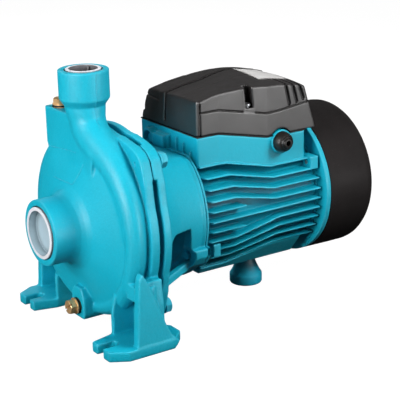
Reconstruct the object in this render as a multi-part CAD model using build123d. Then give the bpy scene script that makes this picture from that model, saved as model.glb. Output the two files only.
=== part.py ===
from build123d import *
import math
import os

# ---------------------------------------------------------------- driving dimensions (mm)
AX = 97.5            # shaft height above the feet
L_BACK = 327.0       # suction face to the rear of the fan cover
CAP_PROUD = 1.5      # dust cap rim in front of the suction face
WIDTH = 190.0        # over the feet
TOP = 238.0          # discharge face height
X_DIS = 51.0         # discharge axis behind the suction face
R_SUC, R_DIS = 30.0, 22.5            # boss outside radii
R_THR_SUC, R_THR_DIS = 22.42, 15.15  # minor radii of the G1 1/2 and G1 threads
R_MOUTH_SUC, R_MOUTH_DIS = 24.2, 16.8
MOUTH = 9.0          # depth of the smooth mouth in front of each thread
R_FLANGE = 87.5      # casing and bracket flange
BOLT_R = 95.0        # bolt circle radius, at 45 degrees
LOBE_R = 12.0
SLOT_Y, SLOT_W = 70.0, 9.5
FOOT_T = 9.5
R_FIN = 66.0         # fin tips
R_BARREL = 56.5      # barrel between the fins
R_STATOR = 52.0
R_RIM = 71.0         # end shield rim
R_FAN_COVER = 71.5
FIN_T = 2.4
PITCH_F, PITCH_R = 9.8, 9.5          # fin pitch, front and rear
Z_FIN_F, Z_FIN_R = 94.5, 95.3        # height of the middle fin
R_SHAFT = 8.5
XO = (L_BACK - CAP_PROUD) / 2        # shifts the suction-face frame to the box centre

os.makedirs("parts", exist_ok=True)
NODES = {}


def put(name, shape):
    NODES[name] = shape


def cx(r, x0, x1, y=0.0, z=AX):
    """Cylinder along X."""
    return Pos((x0 + x1) / 2, y, z) * Rot(0, 90, 0) * Cylinder(r, x1 - x0)


def cy(r, y0, y1, x, z):
    """Cylinder along Y."""
    return Pos(x, (y0 + y1) / 2, z) * Rot(90, 0, 0) * Cylinder(r, y1 - y0)


def cz(r, z0, z1, x, y):
    """Cylinder along Z."""
    return Pos(x, y, (z0 + z1) / 2) * Cylinder(r, z1 - z0)


def ring(ro, ri, x0, x1, y=0.0, z=AX):
    return cx(ro, x0, x1, y, z) - cx(ri, x0 - 1, x1 + 1, y, z)


def bx(x0, x1, y0, y1, z0, z1):
    return Pos((x0 + x1) / 2, (y0 + y1) / 2, (z0 + z1) / 2) * Box(x1 - x0, y1 - y0, z1 - z0)


def rev(pts):
    """Solid of revolution about the shaft axis from (x, radius) points."""
    face = make_face(Polyline(*[(x, 0, r) for x, r in pts], close=True))
    return Pos(0, 0, AX) * revolve(face, Axis.X, 360)


def revz(pts, x, y):
    """Solid of revolution about a vertical axis from (radius, z) points."""
    face = make_face(Polyline(*[(r, 0, z) for r, z in pts], close=True))
    return Pos(x, y, 0) * revolve(face, Axis.Z, 360)


def plate_xz(pts, y0, y1):
    """Polygon in XZ, extruded from y0 to y1."""
    face = make_face(Polyline(*[(x, y1, z) for x, z in pts], close=True))
    return extrude(face, amount=y1 - y0, dir=(0, -1, 0))


def plate_yz(pts, x0, x1):
    """Polygon in YZ, extruded from x0 to x1."""
    face = make_face(Polyline(*[(x0, y, z) for y, z in pts], close=True))
    return extrude(face, amount=x1 - x0, dir=(1, 0, 0))


def plate_xy(pts, z0, z1):
    face = make_face(Polyline(*[(x, y, z0) for x, y in pts], close=True))
    return extrude(face, amount=z1 - z0, dir=(0, 0, 1))


def hex_x(af, x0, x1, y=0.0, z=AX):
    return Pos(x0, y, z) * Rot(0, 90, 0) * extrude(RegularPolygon(af / 2, 6, major_radius=False), amount=x1 - x0)


def hex_z(af, z0, z1, x, y):
    return Pos(x, y, z0) * extrude(RegularPolygon(af / 2, 6, major_radius=False), amount=z1 - z0)


def hex_y(af, y0, y1, x, z):
    return Pos(x, y1, z) * Rot(90, 0, 0) * extrude(RegularPolygon(af / 2, 6, major_radius=False), amount=y1 - y0)


def at45(r):
    d = r * math.sqrt(0.5)
    return [(sy * d, AX + sz * d) for sy in (-1, 1) for sz in (-1, 1)]


# ---------------------------------------------------------------- pump casing
arc = [(53 + 12.5 * math.cos(math.radians(a)), 73 + 12.5 * math.sin(math.radians(a)))
       for a in (195, 180, 162, 144, 126, 108, 90)]
outer = rev([(0, 0), (0, 29), (1, R_SUC), (19, R_SUC), (24, 31.5), (28, 34.5), (31, 40), (33, 47)]
            + arc + [(58.5, 86), (60, R_FLANGE), (73, R_FLANGE), (73, 0)])
casing = outer
for y, z in at45(BOLT_R):
    casing += cx(LOBE_R, 64, 75.2, y, z)
    # ear that joins the lobe to the flange
    sy, sz = (1 if y > 0 else -1), (1 if z > AX else -1)
    casing += plate_yz([(sy * 44, AX + sz * 74), (sy * 74, AX + sz * 44), (y + sy * 8.48, z - sz * 8.48),
                        (y + sy * 2, z + sz * 2), (y - sy * 8.48, z + sz * 8.48)], 64, 75.2)
# discharge side: front wall, shoulder with the priming plug, neck and boss
casing += plate_yz([(52, 198.5), (52, 150), (50, 130), (0, 120), (-62, 132), (-66, 150), (-50, 172),
                    (-32, 190), (-20, 203), (18, 203), (20, 198.5)], 37, 66)
casing += cz(18.5, 150, 212, X_DIS, 0)
casing += revz([(0, 207), (18.5, 207), (R_DIS, 213), (R_DIS, TOP - 0.8), (R_DIS - 0.8, TOP), (0, TOP)], X_DIS, 0)
# drain boss
casing += bx(32, 60, -11, 11, 11, 34)
# legs and feet, each with an open slot, cast on but kept as solids of their own that touch
X_CUT_SUC, Z_CUT_DIS = 27.0, TOP - 26.0
solid_casing = casing
for s, side in ((-1, "near"), (1, "far")):
    foot = plate_xy([(15.7, s * 56), (15.7, s * 85.6), (31.3, s * WIDTH / 2), (77.4, s * WIDTH / 2),
                     (91.2, s * 81.7), (91.2, s * 66), (76, s * 50.5), (38, s * 50.5)], 0, FOOT_T)
    foot -= bx(0, 28.5, s * SLOT_Y - SLOT_W / 2, s * SLOT_Y + SLOT_W / 2, -1, FOOT_T + 1)
    foot -= cz(SLOT_W / 2, -1, FOOT_T + 1, 28.5, s * SLOT_Y)
    put("casing_foot_" + side, foot)
    web = plate_xz([(40, FOOT_T - 1), (42.5, 60), (46, 74), (52, 76), (60, 62), (64, 45), (68, 28), (78, FOOT_T - 1)],
                   *((-94, -86) if s < 0 else (86, 94)))
    inner = plate_xz([(38.5, FOOT_T - 1), (38.5, 42), (68, 42), (68, FOOT_T - 1)], *((-54.5, -50.5) if s < 0 else (50.5, 54.5)))
    back = plate_yz([(s * 51, FOOT_T - 1), (s * 93, FOOT_T - 1), (s * 91, 45), (s * 89, 62), (s * 62, 62), (s * 51, 42)], 61, 70)
    top = plate_yz([(s * 78, 54), (s * 93, 54), (s * 91, 74), (s * 78, 74)], 44, 62)
    cross = inner + top
    leg = (web + cross + back) & bx(30, 90, -100, 100, FOOT_T, 80)
    leg = leg - solid_casing - cx(R_FLANGE + 2, 75.2, 100)
    put("casing_leg_" + side, max(leg.solids(), key=lambda o: o.volume))
# the chamber, its rear register and the two channels
casing -= cx(66, 46, 64) + cx(70, 63.9, 90)
casing -= cx(19, 26, 60)
casing -= cx(21.6, 40, 47)
casing -= cx(R_MOUTH_SUC, -1, MOUTH) + cx(R_THR_SUC, MOUTH - 0.1, 27)
casing -= cz(12.5, 150, 222, X_DIS + 3, 0) & bx(0, 120, -60, 60, 100, 215)
casing -= cz(R_MOUTH_DIS, TOP - MOUTH, TOP + 1, X_DIS, 0) + cz(R_THR_DIS, TOP - 26, TOP - MOUTH + 0.1, X_DIS, 0)
# plug bores and the bolt threads
PRI = (47.0, 38.0)
DRN_Z = 21.0
R_PLUG = 6.5
casing -= cz(R_PLUG + 0.08, 186, 210, *PRI) + cz(4.5, 160, 187, *PRI)
casing -= cx(R_PLUG + 0.08, 20, 44, 0, DRN_Z) + cx(4.5, 40, 50, 0, DRN_Z)
for y, z in at45(BOLT_R):
    casing -= cx(4.0, 66.0, 80, y, z)
port_suc = bx(-5, X_CUT_SUC, -45, 45, 50, 145)
port_dis = bx(0, 100, -40, 40, Z_CUT_DIS, TOP + 5)
put("suction_boss", casing & port_suc)
put("discharge_boss", casing & port_dis)
put("pump_casing", casing - port_suc - port_dis)

# ---------------------------------------------------------------- dust caps
cap = rev([(-CAP_PROUD, 20.3), (-CAP_PROUD, 23.6), (8.2, 23.2), (8.2, 0), (6.6, 0), (6.6, 20.0)])
put("suction_cap", cap)
dcap = revz([(12.9, TOP + 1.2), (16.3, TOP + 1.2), (16.0, TOP - 8.2), (0, TOP - 8.2), (0, TOP - 6.8), (12.7, TOP - 6.8)], X_DIS, 0)
put("discharge_cap", dcap)

# ---------------------------------------------------------------- brass plugs
pz = 198.5
washer = cz(7.6, pz, pz + 1.2, *PRI) - cz(R_PLUG + 0.12, pz - 1, pz + 3, *PRI)
put("priming_plug_washer", washer)
plug = cz(R_PLUG, pz - 10, pz + 2.0, *PRI) + cz(7.4, pz + 1.3, pz + 2.6, *PRI) + hex_z(12, pz + 2.4, pz + 7.2, *PRI)
put("priming_plug", plug)
dx = 32.0
washer = cx(7.6, dx - 1.2, dx, 0, DRN_Z) - cx(R_PLUG + 0.12, dx - 3, dx + 1, 0, DRN_Z)
put("drain_plug_washer", washer)
plug = cx(R_PLUG, dx - 2, dx + 10, 0, DRN_Z) + cx(7.6, dx - 2.6, dx - 1.3, 0, DRN_Z) + hex_x(12, dx - 9, dx - 2.4, 0, DRN_Z)
plug -= bx(dx - 10, dx - 6.5, -8, 8, DRN_Z - 0.8, DRN_Z + 0.8)
put("drain_plug", plug)

# ---------------------------------------------------------------- motor bracket (lantern)
br = cx(R_FLANGE, 76.6, 84)
for y, z in at45(BOLT_R):
    sy, sz = (1 if y > 0 else -1), (1 if z > AX else -1)
    br += cx(LOBE_R, 75.2, 84, y, z)
    br += plate_yz([(sy * 44, AX + sz * 74), (sy * 74, AX + sz * 44), (y + sy * 8.48, z - sz * 8.48),
                    (y + sy * 2, z + sz * 2), (y - sy * 8.48, z + sz * 8.48)], 75.2, 84)
br += rev([(84, 70), (84, 82), (88, 79), (96, 75.5), (112, 71), (126, 67), (132, 66.4), (132, 58), (84, 66)])
br += ring(69.9, 62, 65.5, 77)
br += rev([(66, 20), (66, 69.9), (77, 69.9), (77, 60), (73.5, 58), (73.5, 26), (84, 24), (84, 12), (77, 12), (77, 17.5), (66, 17.5)])
br += rev([(110, 20), (110, 27), (118, 30), (120, 60), (128, 61), (132, 60), (132, 52.5), (124.2, 50), (124.2, 20)])
# side windows, below the axis, the open bottom, and a rib on each side
for s in (-1, 1):
    br -= plate_xz([(87.5, 0), (87.5, 92), (92, 96), (114, 96), (114, 78), (118.5, 72), (118.5, 0)],
                   *((-90, -20) if s < 0 else (20, 90)))
br -= plate_yz([(-40, 0), (-46, 46), (-20, 66), (20, 66), (46, 46), (40, 0)], 87, 117)
for s in (-1, 1):
    br += plate_xz([(83, 43.2), (83, 51.2), (119, 61), (119, 54)], *((-80, -30) if s < 0 else (30, 80))) & \
        plate_xy([(83, s * 65.5), (83, s * 58.5), (119, s * 49.5), (119, s * 56)], 30, 70)
br -= cx(20.02, 112, 124.3)
br -= cx(12.01, 76.9, 90) + cx(17.5, 60, 77)
# saddle under the front of the terminal box
br -= plate_xz([(84, 185), (90, 176), (112, 153.5), (135, 153.5), (135, 200), (84, 200)], -48, 48)
br -= cx(6.6, 128, 134, 24.5, 157.2)
for y, z in at45(BOLT_R):
    br -= cx(4.5, 70, 90, y, z)
LUGS_F = [(sy * 54.0, AX - 31.4) for sy in (-1, 1)]      # screws of the bracket, low on the front ring
LUGS_R = [(sy * 54.0, AX + 31.4) for sy in (-1, 1)]      # screws of the end shield, high at the rear
for y, z in LUGS_F:
    br -= cx(2.7, 110, 140, y, z) + cx(4.7, 100, 120, y, z)
put("motor_bracket", br)

bolts = Compound([hex_x(13, 84, 89.5, y, z) + cx(3.9, 66.5, 84.1, y, z) for y, z in at45(BOLT_R)])
put("casing_bolts", bolts)
put("casing_gasket", ring(69.9, 66.3, 64.0, 65.5))

# ---------------------------------------------------------------- impeller and seal
imp = ring(62, 17, 49, 51) + rev([(41, 17), (41, 21.2), (50, 21.2), (50, 17)])
imp += rev([(60, 6.95), (60, 62), (62.3, 62), (62.3, 12.5), (66, 12.5), (66, 6.95)])
imp += rev([(54, 6.95), (54, 10), (60.5, 14), (60.5, 6.95)])
for i in range(5):
    blade = None
    for j in range(4):
        r0, r1 = 17.5 + j * 11, 17.5 + (j + 1) * 11
        a0, a1 = i * 72 - 18 * j, i * 72 - 18 * (j + 1)
        p0 = (r0 * math.cos(math.radians(a0)), AX + r0 * math.sin(math.radians(a0)))
        p1 = (r1 * math.cos(math.radians(a1)), AX + r1 * math.sin(math.radians(a1)))
        dy, dz = p1[0] - p0[0], p1[1] - p0[1]
        n = math.hypot(dy, dz)
        ny, nz = -dz / n * 1.1, dy / n * 1.1
        e = 0.35
        q0 = (p0[0] - dy / n * e, p0[1] - dz / n * e)
        q1 = (p1[0] + dy / n * e, p1[1] + dz / n * e)
        seg = plate_yz([(q0[0] + ny, q0[1] + nz), (q1[0] + ny, q1[1] + nz), (q1[0] - ny, q1[1] - nz), (q0[0] - ny, q0[1] - nz)], 50.5, 60.5)
        blade = seg if blade is None else blade + seg
    imp += blade
imp -= bx(53, 70, -1.55, 1.55, AX + 6, AX + 8.6)
put("impeller", imp)
put("impeller_nut", hex_x(17, 48, 54, 0, AX) - cx(5.0, 47, 55))
put("impeller_key", bx(55, 65.5, -1.5, 1.5, AX + 5.3, AX + 8.4))
put("seal_rotary_head", ring(14, 7.02, 71, 76.6))
spring = None
for k in range(4):
    c = Pos(66.75 + k * 1.08, 0, AX) * Rot(0, 90, 0) * Torus(11.4, 0.55)
    spring = c if spring is None else spring + c
put("seal_spring", spring)
put("seal_seat_cup", ring(11.98, 9.6, 77.6, 84) + ring(11.98, 10.9, 76.9, 77.7))
put("seal_stationary_ring", ring(9.58, 9.0, 77.4, 84) + ring(10.88, 9.0, 76.8, 77.5))

# ---------------------------------------------------------------- shaft and rotor
shaft = rev([(46.5, 0), (46.5, 4.5), (47, 4.98), (55, 4.98), (55, 6.93), (77, 6.93), (77, R_SHAFT),
             (110, R_SHAFT), (130, R_SHAFT), (130, 10), (160, 10), (160, 12), (232, 12), (232, 10), (258, 10), (258, R_SHAFT),
             (284, R_SHAFT), (284, 7), (306, 7), (306, 0)])
shaft -= bx(55, 66, -1.52, 1.52, AX + 5.3, AX + 8)
put("motor_shaft", shaft)
put("rotor_core", ring(29.6, 12, 162, 232) + ring(27, 22, 156, 162) + ring(27, 22, 232, 238))
put("slinger_ring", ring(18, R_SHAFT, 94, 96) + ring(11, R_SHAFT, 93, 98))

# ---------------------------------------------------------------- bearings 17 x 40 x 12
def bearing(name, x0):
    x1 = x0 + 12
    xm = x0 + 6
    groove = Pos(xm, 0, AX) * Rot(0, 90, 0) * Torus(14.25, 3.5)
    put(name + "_bearing_outer", ring(20.0, 16.6, x0, x1) - groove)
    put(name + "_bearing_inner", ring(12.0, R_SHAFT, x0, x1) - groove)
    balls = [Pos(xm, 14.25 * math.cos(math.radians(a)), AX + 14.25 * math.sin(math.radians(a))) * Sphere(3.37)
             for a in range(0, 360, 45)]
    put(name + "_bearing_balls", Compound(balls))
    cage = ring(15.0, 13.5, xm - 4.2, xm + 4.2)
    for a in range(0, 360, 45):
        cage -= Pos(xm, 14.25 * math.cos(math.radians(a)), AX + 14.25 * math.sin(math.radians(a))) * Sphere(3.6)
    put(name + "_bearing_cage", cage)


bearing("front", 112.15)
bearing("rear", 258.0)

# ---------------------------------------------------------------- stator
stator = ring(R_STATOR, 30.0, 160, 232)
for i in range(24):
    a = math.radians(i * 15)
    stator -= Pos(196, 38 * math.cos(a), AX + 38 * math.sin(a)) * Rot(math.degrees(a), 0, 0) * Box(80, 12, 4.2)
put("stator_core", stator)
slots = None
coils = ring(46, 33, 146, 159.9) + ring(46, 33, 232.1, 246)
for i in range(24):
    a = math.radians(i * 15)
    coils += Pos(196, 38 * math.cos(a), AX + 38 * math.sin(a)) * Rot(math.degrees(a), 0, 0) * Box(90, 11.6, 3.8)
put("stator_windings", coils)

# ---------------------------------------------------------------- motor housing with the terminal box base
X_H0, X_H1 = 132.0, 264.0
BX0, BX1 = 136.0, 252.0        # terminal box, front and rear walls
def box_half(x):
    return 48.2 if x <= 159 else (55.3 if x >= 208 else 48.2 + 7.1 * (x - 159) / 49)


XS = [BX0, 159, 208, BX1]
ZB = [142.9, 142.9, 133.6, 133.6]     # lower edge of the box sides
ZT = [170.6, 170.6, 161.0, 161.0]     # seam between base and cover
def wave(z, dz=0.0):
    return [(x, v + dz) for x, v in zip(XS, z)]


plan = [(BX0, -48.2), (159, -48.2), (208, -55.3), (BX1, -55.3), (BX1, 55.3), (208, 55.3), (159, 48.2), (BX0, 48.2)]
plan_in = [(BX0 + 4, -44.2), (159, -44.2), (208, -51.3), (BX1 - 4, -51.3), (BX1 - 4, 51.3), (208, 51.3), (159, 44.2), (BX0 + 4, 44.2)]
side = plate_xz(wave(ZT) + [(BX1, AX + 30), (BX0, AX + 30)], -60, 60)
base = plate_xy(plan, AX + 30, 180) & side
housing = cx(R_BARREL, X_H0, X_H1) + ring(66.4, 50, X_H0, X_H0 + 5) + base
fins = None
for k in range(-5, 6):
    zf = Z_FIN_F + PITCH_F * k
    if k in (1, -1):
        pts = [(140.5, zf), (177, zf)]
    elif k == 0:
        pts = [(140.5, zf), (X_H1 - 1, Z_FIN_R)]
    else:
        zr = Z_FIN_R + PITCH_R * (k - (1 if k > 0 else -1))
        pts = [(140.5, zf), (166, zf), (211, zr), (X_H1 - 1, zr)]
    h = FIN_T / 2
    poly = [(x, z - h) for x, z in pts] + [(x, z + h) for x, z in reversed(pts)]
    f = plate_xz(poly, -70, 70)
    fins = f if fins is None else fins + f
fins = fins & ring(R_FIN, 50, X_H0, X_H1)
housing += fins
# flat underside with its sloping skirts
skirt = plate_yz([(-36, 37.2), (36, 37.2), (52, 58), (50, AX - 20), (-50, AX - 20), (-52, 58)], 141, 250)
skirt = skirt - (plate_xz([(130, 47), (166, 47), (211, 59), (262, 59), (262, 90), (130, 90)], -60, 60) - cx(R_BARREL, 120, 270))
housing += skirt
for y, z in LUGS_F:
    s = 1 if y > 0 else -1
    housing += bx(141, 150, min(s * 48, s * 61), max(s * 48, s * 61), z - 6, z + 6)
    housing += bx(X_H0, 142, min(s * 50, s * 60), max(s * 50, s * 60), z - 4.5, z + 4.5)
for y, z in LUGS_R:
    s = 1 if y > 0 else -1
    housing += bx(255, X_H1, min(s * 48, s * 61), max(s * 48, s * 61), z - 6, z + 6)
housing -= cx(R_STATOR, X_H0 - 1, X_H1 + 1)
# hollow of the terminal box, with the wire opening into the barrel
housing -= plate_xy(plan_in, 158, 190) - plate_xz([(120, 0), (270, 0), (270, 158), (120, 158)], -70, 70)
housing -= plate_xy(plan_in, 158, 190)
housing -= bx(150, 156.5, -20, 20, 140, 160)
for y, z in LUGS_F:
    housing -= cx(2.1, X_H0 - 1, 148, y, z)
for y, z in LUGS_R:
    housing -= cx(2.1, 254, X_H1 + 1, y, z)
GL = (226.0, 153.6)      # gland centre on the side wall
LBX, LBY = (206.0, 236.0), (-44.0, 4.0)   # rating plate on the crown of the cover
housing -= cy(6.6, -60, -45, *GL)
GB = cy(11.8, -56.8, -48, *GL)
housing += (GB - cy(6.6, -60, -45, *GL)) - plate_xy(plan_in, 120, 190)
housing -= cz(3.0, 30, 50, 221.5, 0)
EARTH = (24.5, 157.2)
housing -= bx(X_H0 - 1, BX0, -48, 48, 153.5, 170)
housing -= cx(6.5, X_H0 - 1, BX0, *EARTH) + cx(2.05, 130, 146, *EARTH)
TSC = [(190.0, sy * 49.0) for sy in (-1, 1)]
for x, y in TSC:
    s = 1 if y > 0 else -1
    housing += bx(184.5, 195.5, min(s * 43, s * 51), max(s * 43, s * 51), 146, 170) & side
for x, y in TSC:
    housing -= cz(2.05, 152, 175, x, y)
put("motor_housing", housing)

put("housing_screws", Compound([hex_x(7, 116.6, 120.0, y, z) + cx(2.05, 119.9, 147.5, y, z) for y, z in LUGS_F]))

# ---------------------------------------------------------------- end shield, fan, fan cover
shield = rev([(X_H1, 20.03), (X_H1, R_RIM - 4.5), (266, R_RIM), (271.5, R_RIM), (271.5, 69.2), (279, 69.2), (279, 66.5),
              (270.5, 66.5), (269, 60), (269, 30), (272, 25), (272, 14), (270.1, 14), (270.1, 20.03)])
shield += rev([(256.5, 20.03), (256.5, 26), (X_H1 + 0.5, 28), (X_H1 + 0.5, 20.03)])
shield += ring(51.9, 46.5, 258, X_H1 + 0.5)
shield -= cx(20.03, 250, 270.05)
for y, z in LUGS_R:
    shield -= cx(2.7, 250, 275, y, z) + cx(4.4, 268.8, 285, y, z)
put("rear_end_shield", shield)
put("end_shield_screws", Compound([hex_x(7, 268.8, 272.0, y, z) + cx(2.05, 254.5, 268.9, y, z) for y, z in LUGS_R]))
put("wave_washer", ring(19.6, 15.2, 256.6, 257.8))
fan = ring(14, 7.0, 284.5, 303) + ring(58, 13, 284.5, 286.5)
for i in range(8):
    fan += Pos(0, 0, AX) * Rot(i * 45, 0, 0) * Pos(0, 0, -AX) * bx(286, 301, -1.0, 1.0, AX + 13, AX + 57)
put("cooling_fan", fan)
cover = rev([(271.6, 69.35), (271.6, R_FAN_COVER - 0.6), (300, R_FAN_COVER), (318.5, R_FAN_COVER), (323, R_FAN_COVER - 1.4), (326, R_FAN_COVER - 4.6),
             (L_BACK, R_FAN_COVER - 9), (L_BACK, 0), (L_BACK - 2.4, 0), (L_BACK - 2.4, R_FAN_COVER - 11), (321, R_FAN_COVER - 3), (318, 69.2), (280, 69.35)])
cuts = None
for i in range(-6, 7):
    yy = i * 9.0
    half = math.sqrt(56.0 ** 2 - yy ** 2)
    for a, b in ((-half, -3.5), (3.5, half)):
        c = bx(322, 330, yy - 2.6, yy + 2.6, AX + a, AX + b)
        cuts = c if cuts is None else cuts + c
cover -= cuts
put("fan_cover", cover)

# ---------------------------------------------------------------- terminal box cover and contents
def off(z, d):
    return [(x, v + d) for x, v in zip(XS, z)]


gasket = (plate_xy(plan, 150, 190) - plate_xy(plan_in, 150, 190)) & plate_xz(wave(ZT, 0.0) + list(reversed(wave(ZT, 1.0))), -60, 60)
for x, y in TSC:
    s = 1 if y > 0 else -1
    gasket -= cz(2.3, 150, 190, x, y)
gasket -= cy(11.85, -70, -40, *GL)
put("terminal_box_gasket", gasket)
CX1 = 264.0
zt = off(ZT, 1.0)
profile = zt[:3] + [(CX1, ZT[3] + 1.0), (263, 185), (258, 199), (252, 205.5), (235, 211), (210, 217), (190, 219), (172, 219), (150, 214.5), (139, 209), (137, 200)]
plan_c = [(BX0, -48.2), (159, -48.2), (208, -55.3), (CX1, -55.3), (CX1, 55.3), (208, 55.3), (159, 48.2), (BX0, 48.2)]
plan_ci = [(BX0 + 3, -45.4), (159, -45.4), (208, -52.4), (CX1 - 3, -52.4), (CX1 - 3, 52.4), (208, 52.4), (159, 45.4), (BX0 + 3, 45.4)]
crown = plate_yz([(-60, 150), (60, 150), (56, 203), (50, 207.5), (34, 213), (16, 217.5), (0, 219), (-16, 217.5), (-34, 213), (-50, 207.5), (-56, 203)], 120, 280)
outer_c = (plate_xy(plan_c, 140, 230) & plate_xz(profile, -60, 60)) & crown
inner_prof = [(x, z - 2) for x, z in zt[:3]] + [(CX1, ZT[3] - 1.0)] + [(260, 184), (255, 197), (250, 202.5), (234, 208), (210, 214), (190, 216), (172, 216), (152, 211.5), (141, 206), (138, 199)]
crown_i = plate_yz([(-58, 130), (58, 130), (53, 200.5), (48, 204.5), (34, 210), (16, 214.5), (0, 216), (-16, 214.5), (-34, 210), (-48, 204.5), (-53, 200.5)], 120, 280)
inner_c = (plate_xy(plan_ci, 130, 230) & plate_xz(inner_prof, -60, 60)) & crown_i
tcover = outer_c - inner_c
for x, y in TSC:
    s = 1 if y > 0 else -1
    pocket = bx(x - 3.9, x + 3.9, min(y - s * 4.2, s * 60), max(y - s * 4.2, s * 60), 192.5, 230)
    tcover += (bx(x - 6, x + 6, min(s * 43.0, s * 53), max(s * 43.0, s * 53), 168.0, 206) & outer_c)
    tcover -= pocket
    tcover -= cz(2.2, 150, 200, x, y)
tcover -= cy(11.9, -70, -48, *GL)
put("terminal_box_cover", tcover)
put("cover_screws", Compound([cz(3.4, 192.6, 195.6, x, y) + cz(2.0, 160.0, 192.7, x, y) for x, y in TSC]))
put("rating_label", (Pos(0, 0, 0.3) * outer_c - outer_c) & bx(LBX[0], LBX[1], LBY[0], LBY[1], 205, 225))
put("cable_gland_body", (cy(6.5, -58, -48, *GL) - cy(4.25, -60, -45, *GL)) + (cy(8.6, -59.0, -56.9, *GL) - cy(4.25, -60, -45, *GL)))
dome = Pos(GL[0], -58.9, GL[1]) * Rot(90, 0, 0) * revolve(
    make_face(Polyline((4.25, 0, 0), (11.2, 0, 0), (11.2, 0, 3.5), (10.2, 0, 6.8), (8.0, 0, 9.6), (6.0, 0, 10.6), (4.25, 0, 10.6), close=True)), Axis.Z, 360)
dome -= cy(8.7, -59.05, -56.8, *GL)
put("cable_gland_nut", dome)
put("terminal_block", bx(150, 176, -34, -6, 158.05, 172) - Compound([cz(2.0, 165, 180, 156, yy) for yy in (-29, -20, -11)]) - Compound([cz(2.0, 165, 180, 170, yy) for yy in (-29, -20, -11)]))
put("start_capacitor", cx(17, 168, 240, 22, 183) + cx(4, 163, 168, 22, 183))
put("capacitor_clip", bx(198, 208, 3.2, 4.8, 158.05, 180) + bx(198, 208, 39.2, 40.8, 158.05, 180) + bx(198, 208, 3.2, 40.8, 158.05, 159.6))
put("earth_screw", hex_x(8, 132.2, 135.9, *EARTH) + cx(2.0, 135.8, 143, *EARTH) + cx(5.6, 135.0, 135.98, *EARTH))

# ---------------------------------------------------------------- support foot
foot = revz([(0, 0), (15, 0), (16, 1.2), (16, 9), (15, 11.5), (8.2, 26), (7.8, 30), (7.8, 37.15), (0, 37.15)], 221.5, 0)
foot -= cz(3.2, 7, 50, 221.5, 0) + cz(6, -1, 8.2, 221.5, 0)
put("support_foot", foot)
put("support_foot_screw", cz(2.9, 8.2, 44, 221.5, 0) + cz(5.2, 4, 8.2, 221.5, 0))

for name, shape in NODES.items():
    moved = Pos(-XO, 0, 0) * shape
    export_step(moved, f"parts/{name}.step")
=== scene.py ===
import bpy
import math
import numpy as np
from mathutils import Matrix, Vector


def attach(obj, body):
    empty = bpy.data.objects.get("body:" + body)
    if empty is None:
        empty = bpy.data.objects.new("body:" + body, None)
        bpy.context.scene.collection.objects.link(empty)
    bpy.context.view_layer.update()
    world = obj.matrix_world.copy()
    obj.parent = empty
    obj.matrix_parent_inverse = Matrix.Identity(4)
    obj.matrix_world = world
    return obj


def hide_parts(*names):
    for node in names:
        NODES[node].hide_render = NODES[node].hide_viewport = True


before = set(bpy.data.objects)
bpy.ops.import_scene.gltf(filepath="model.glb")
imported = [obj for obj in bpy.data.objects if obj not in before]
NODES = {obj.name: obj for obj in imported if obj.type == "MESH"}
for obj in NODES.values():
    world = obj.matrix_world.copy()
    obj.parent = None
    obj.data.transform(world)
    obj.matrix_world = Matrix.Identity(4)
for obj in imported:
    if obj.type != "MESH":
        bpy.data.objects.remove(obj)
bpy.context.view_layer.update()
XO = 162.75          # suction face to the middle of the object, mm
AX = 97.5            # shaft height, mm
LOBES = [(sy * 67.18, sz * 67.18) for sy in (-1, 1) for sz in (-1, 1)]
LUGS_F = [(sy * 54.0, AX - 31.4) for sy in (-1, 1)]
LUGS_R = [(sy * 54.0, AX + 31.4) for sy in (-1, 1)]


# ---------------------------------------------------------------- distance fields on a grid
def smin(a, b, k):
    if k <= 0:
        return np.minimum(a, b)
    h = np.maximum(k - np.abs(a - b), 0.0) / k
    return np.minimum(a, b) - h * h * (k * 0.25)


def poly_sdf(pts, X, Y):
    """Signed distance to a closed polygon, on 2-D arrays."""
    pts = np.array(pts, float)
    d = np.full(X.shape, 1e18)
    s = np.ones(X.shape)
    n = len(pts)
    for i in range(n):
        a, b = pts[i], pts[i - 1]
        ex, ey = b[0] - a[0], b[1] - a[1]
        wx, wy = X - a[0], Y - a[1]
        t = np.clip((wx * ex + wy * ey) / (ex * ex + ey * ey + 1e-12), 0, 1)
        bx, by = wx - ex * t, wy - ey * t
        d = np.minimum(d, bx * bx + by * by)
        c1, c2, c3 = Y >= a[1], Y < b[1], ex * wy > ey * wx
        flip = (c1 & c2 & c3) | (~c1 & ~c2 & ~c3)
        s = np.where(flip, -s, s)
    return (s * np.sqrt(d)).astype(np.float32)


def slab(d2, a):
    """Joins a 2-D distance with the distance along the third axis."""
    return np.minimum(np.maximum(d2, a), 0.0) + np.hypot(np.maximum(d2, 0.0), np.maximum(a, 0.0))


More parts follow.
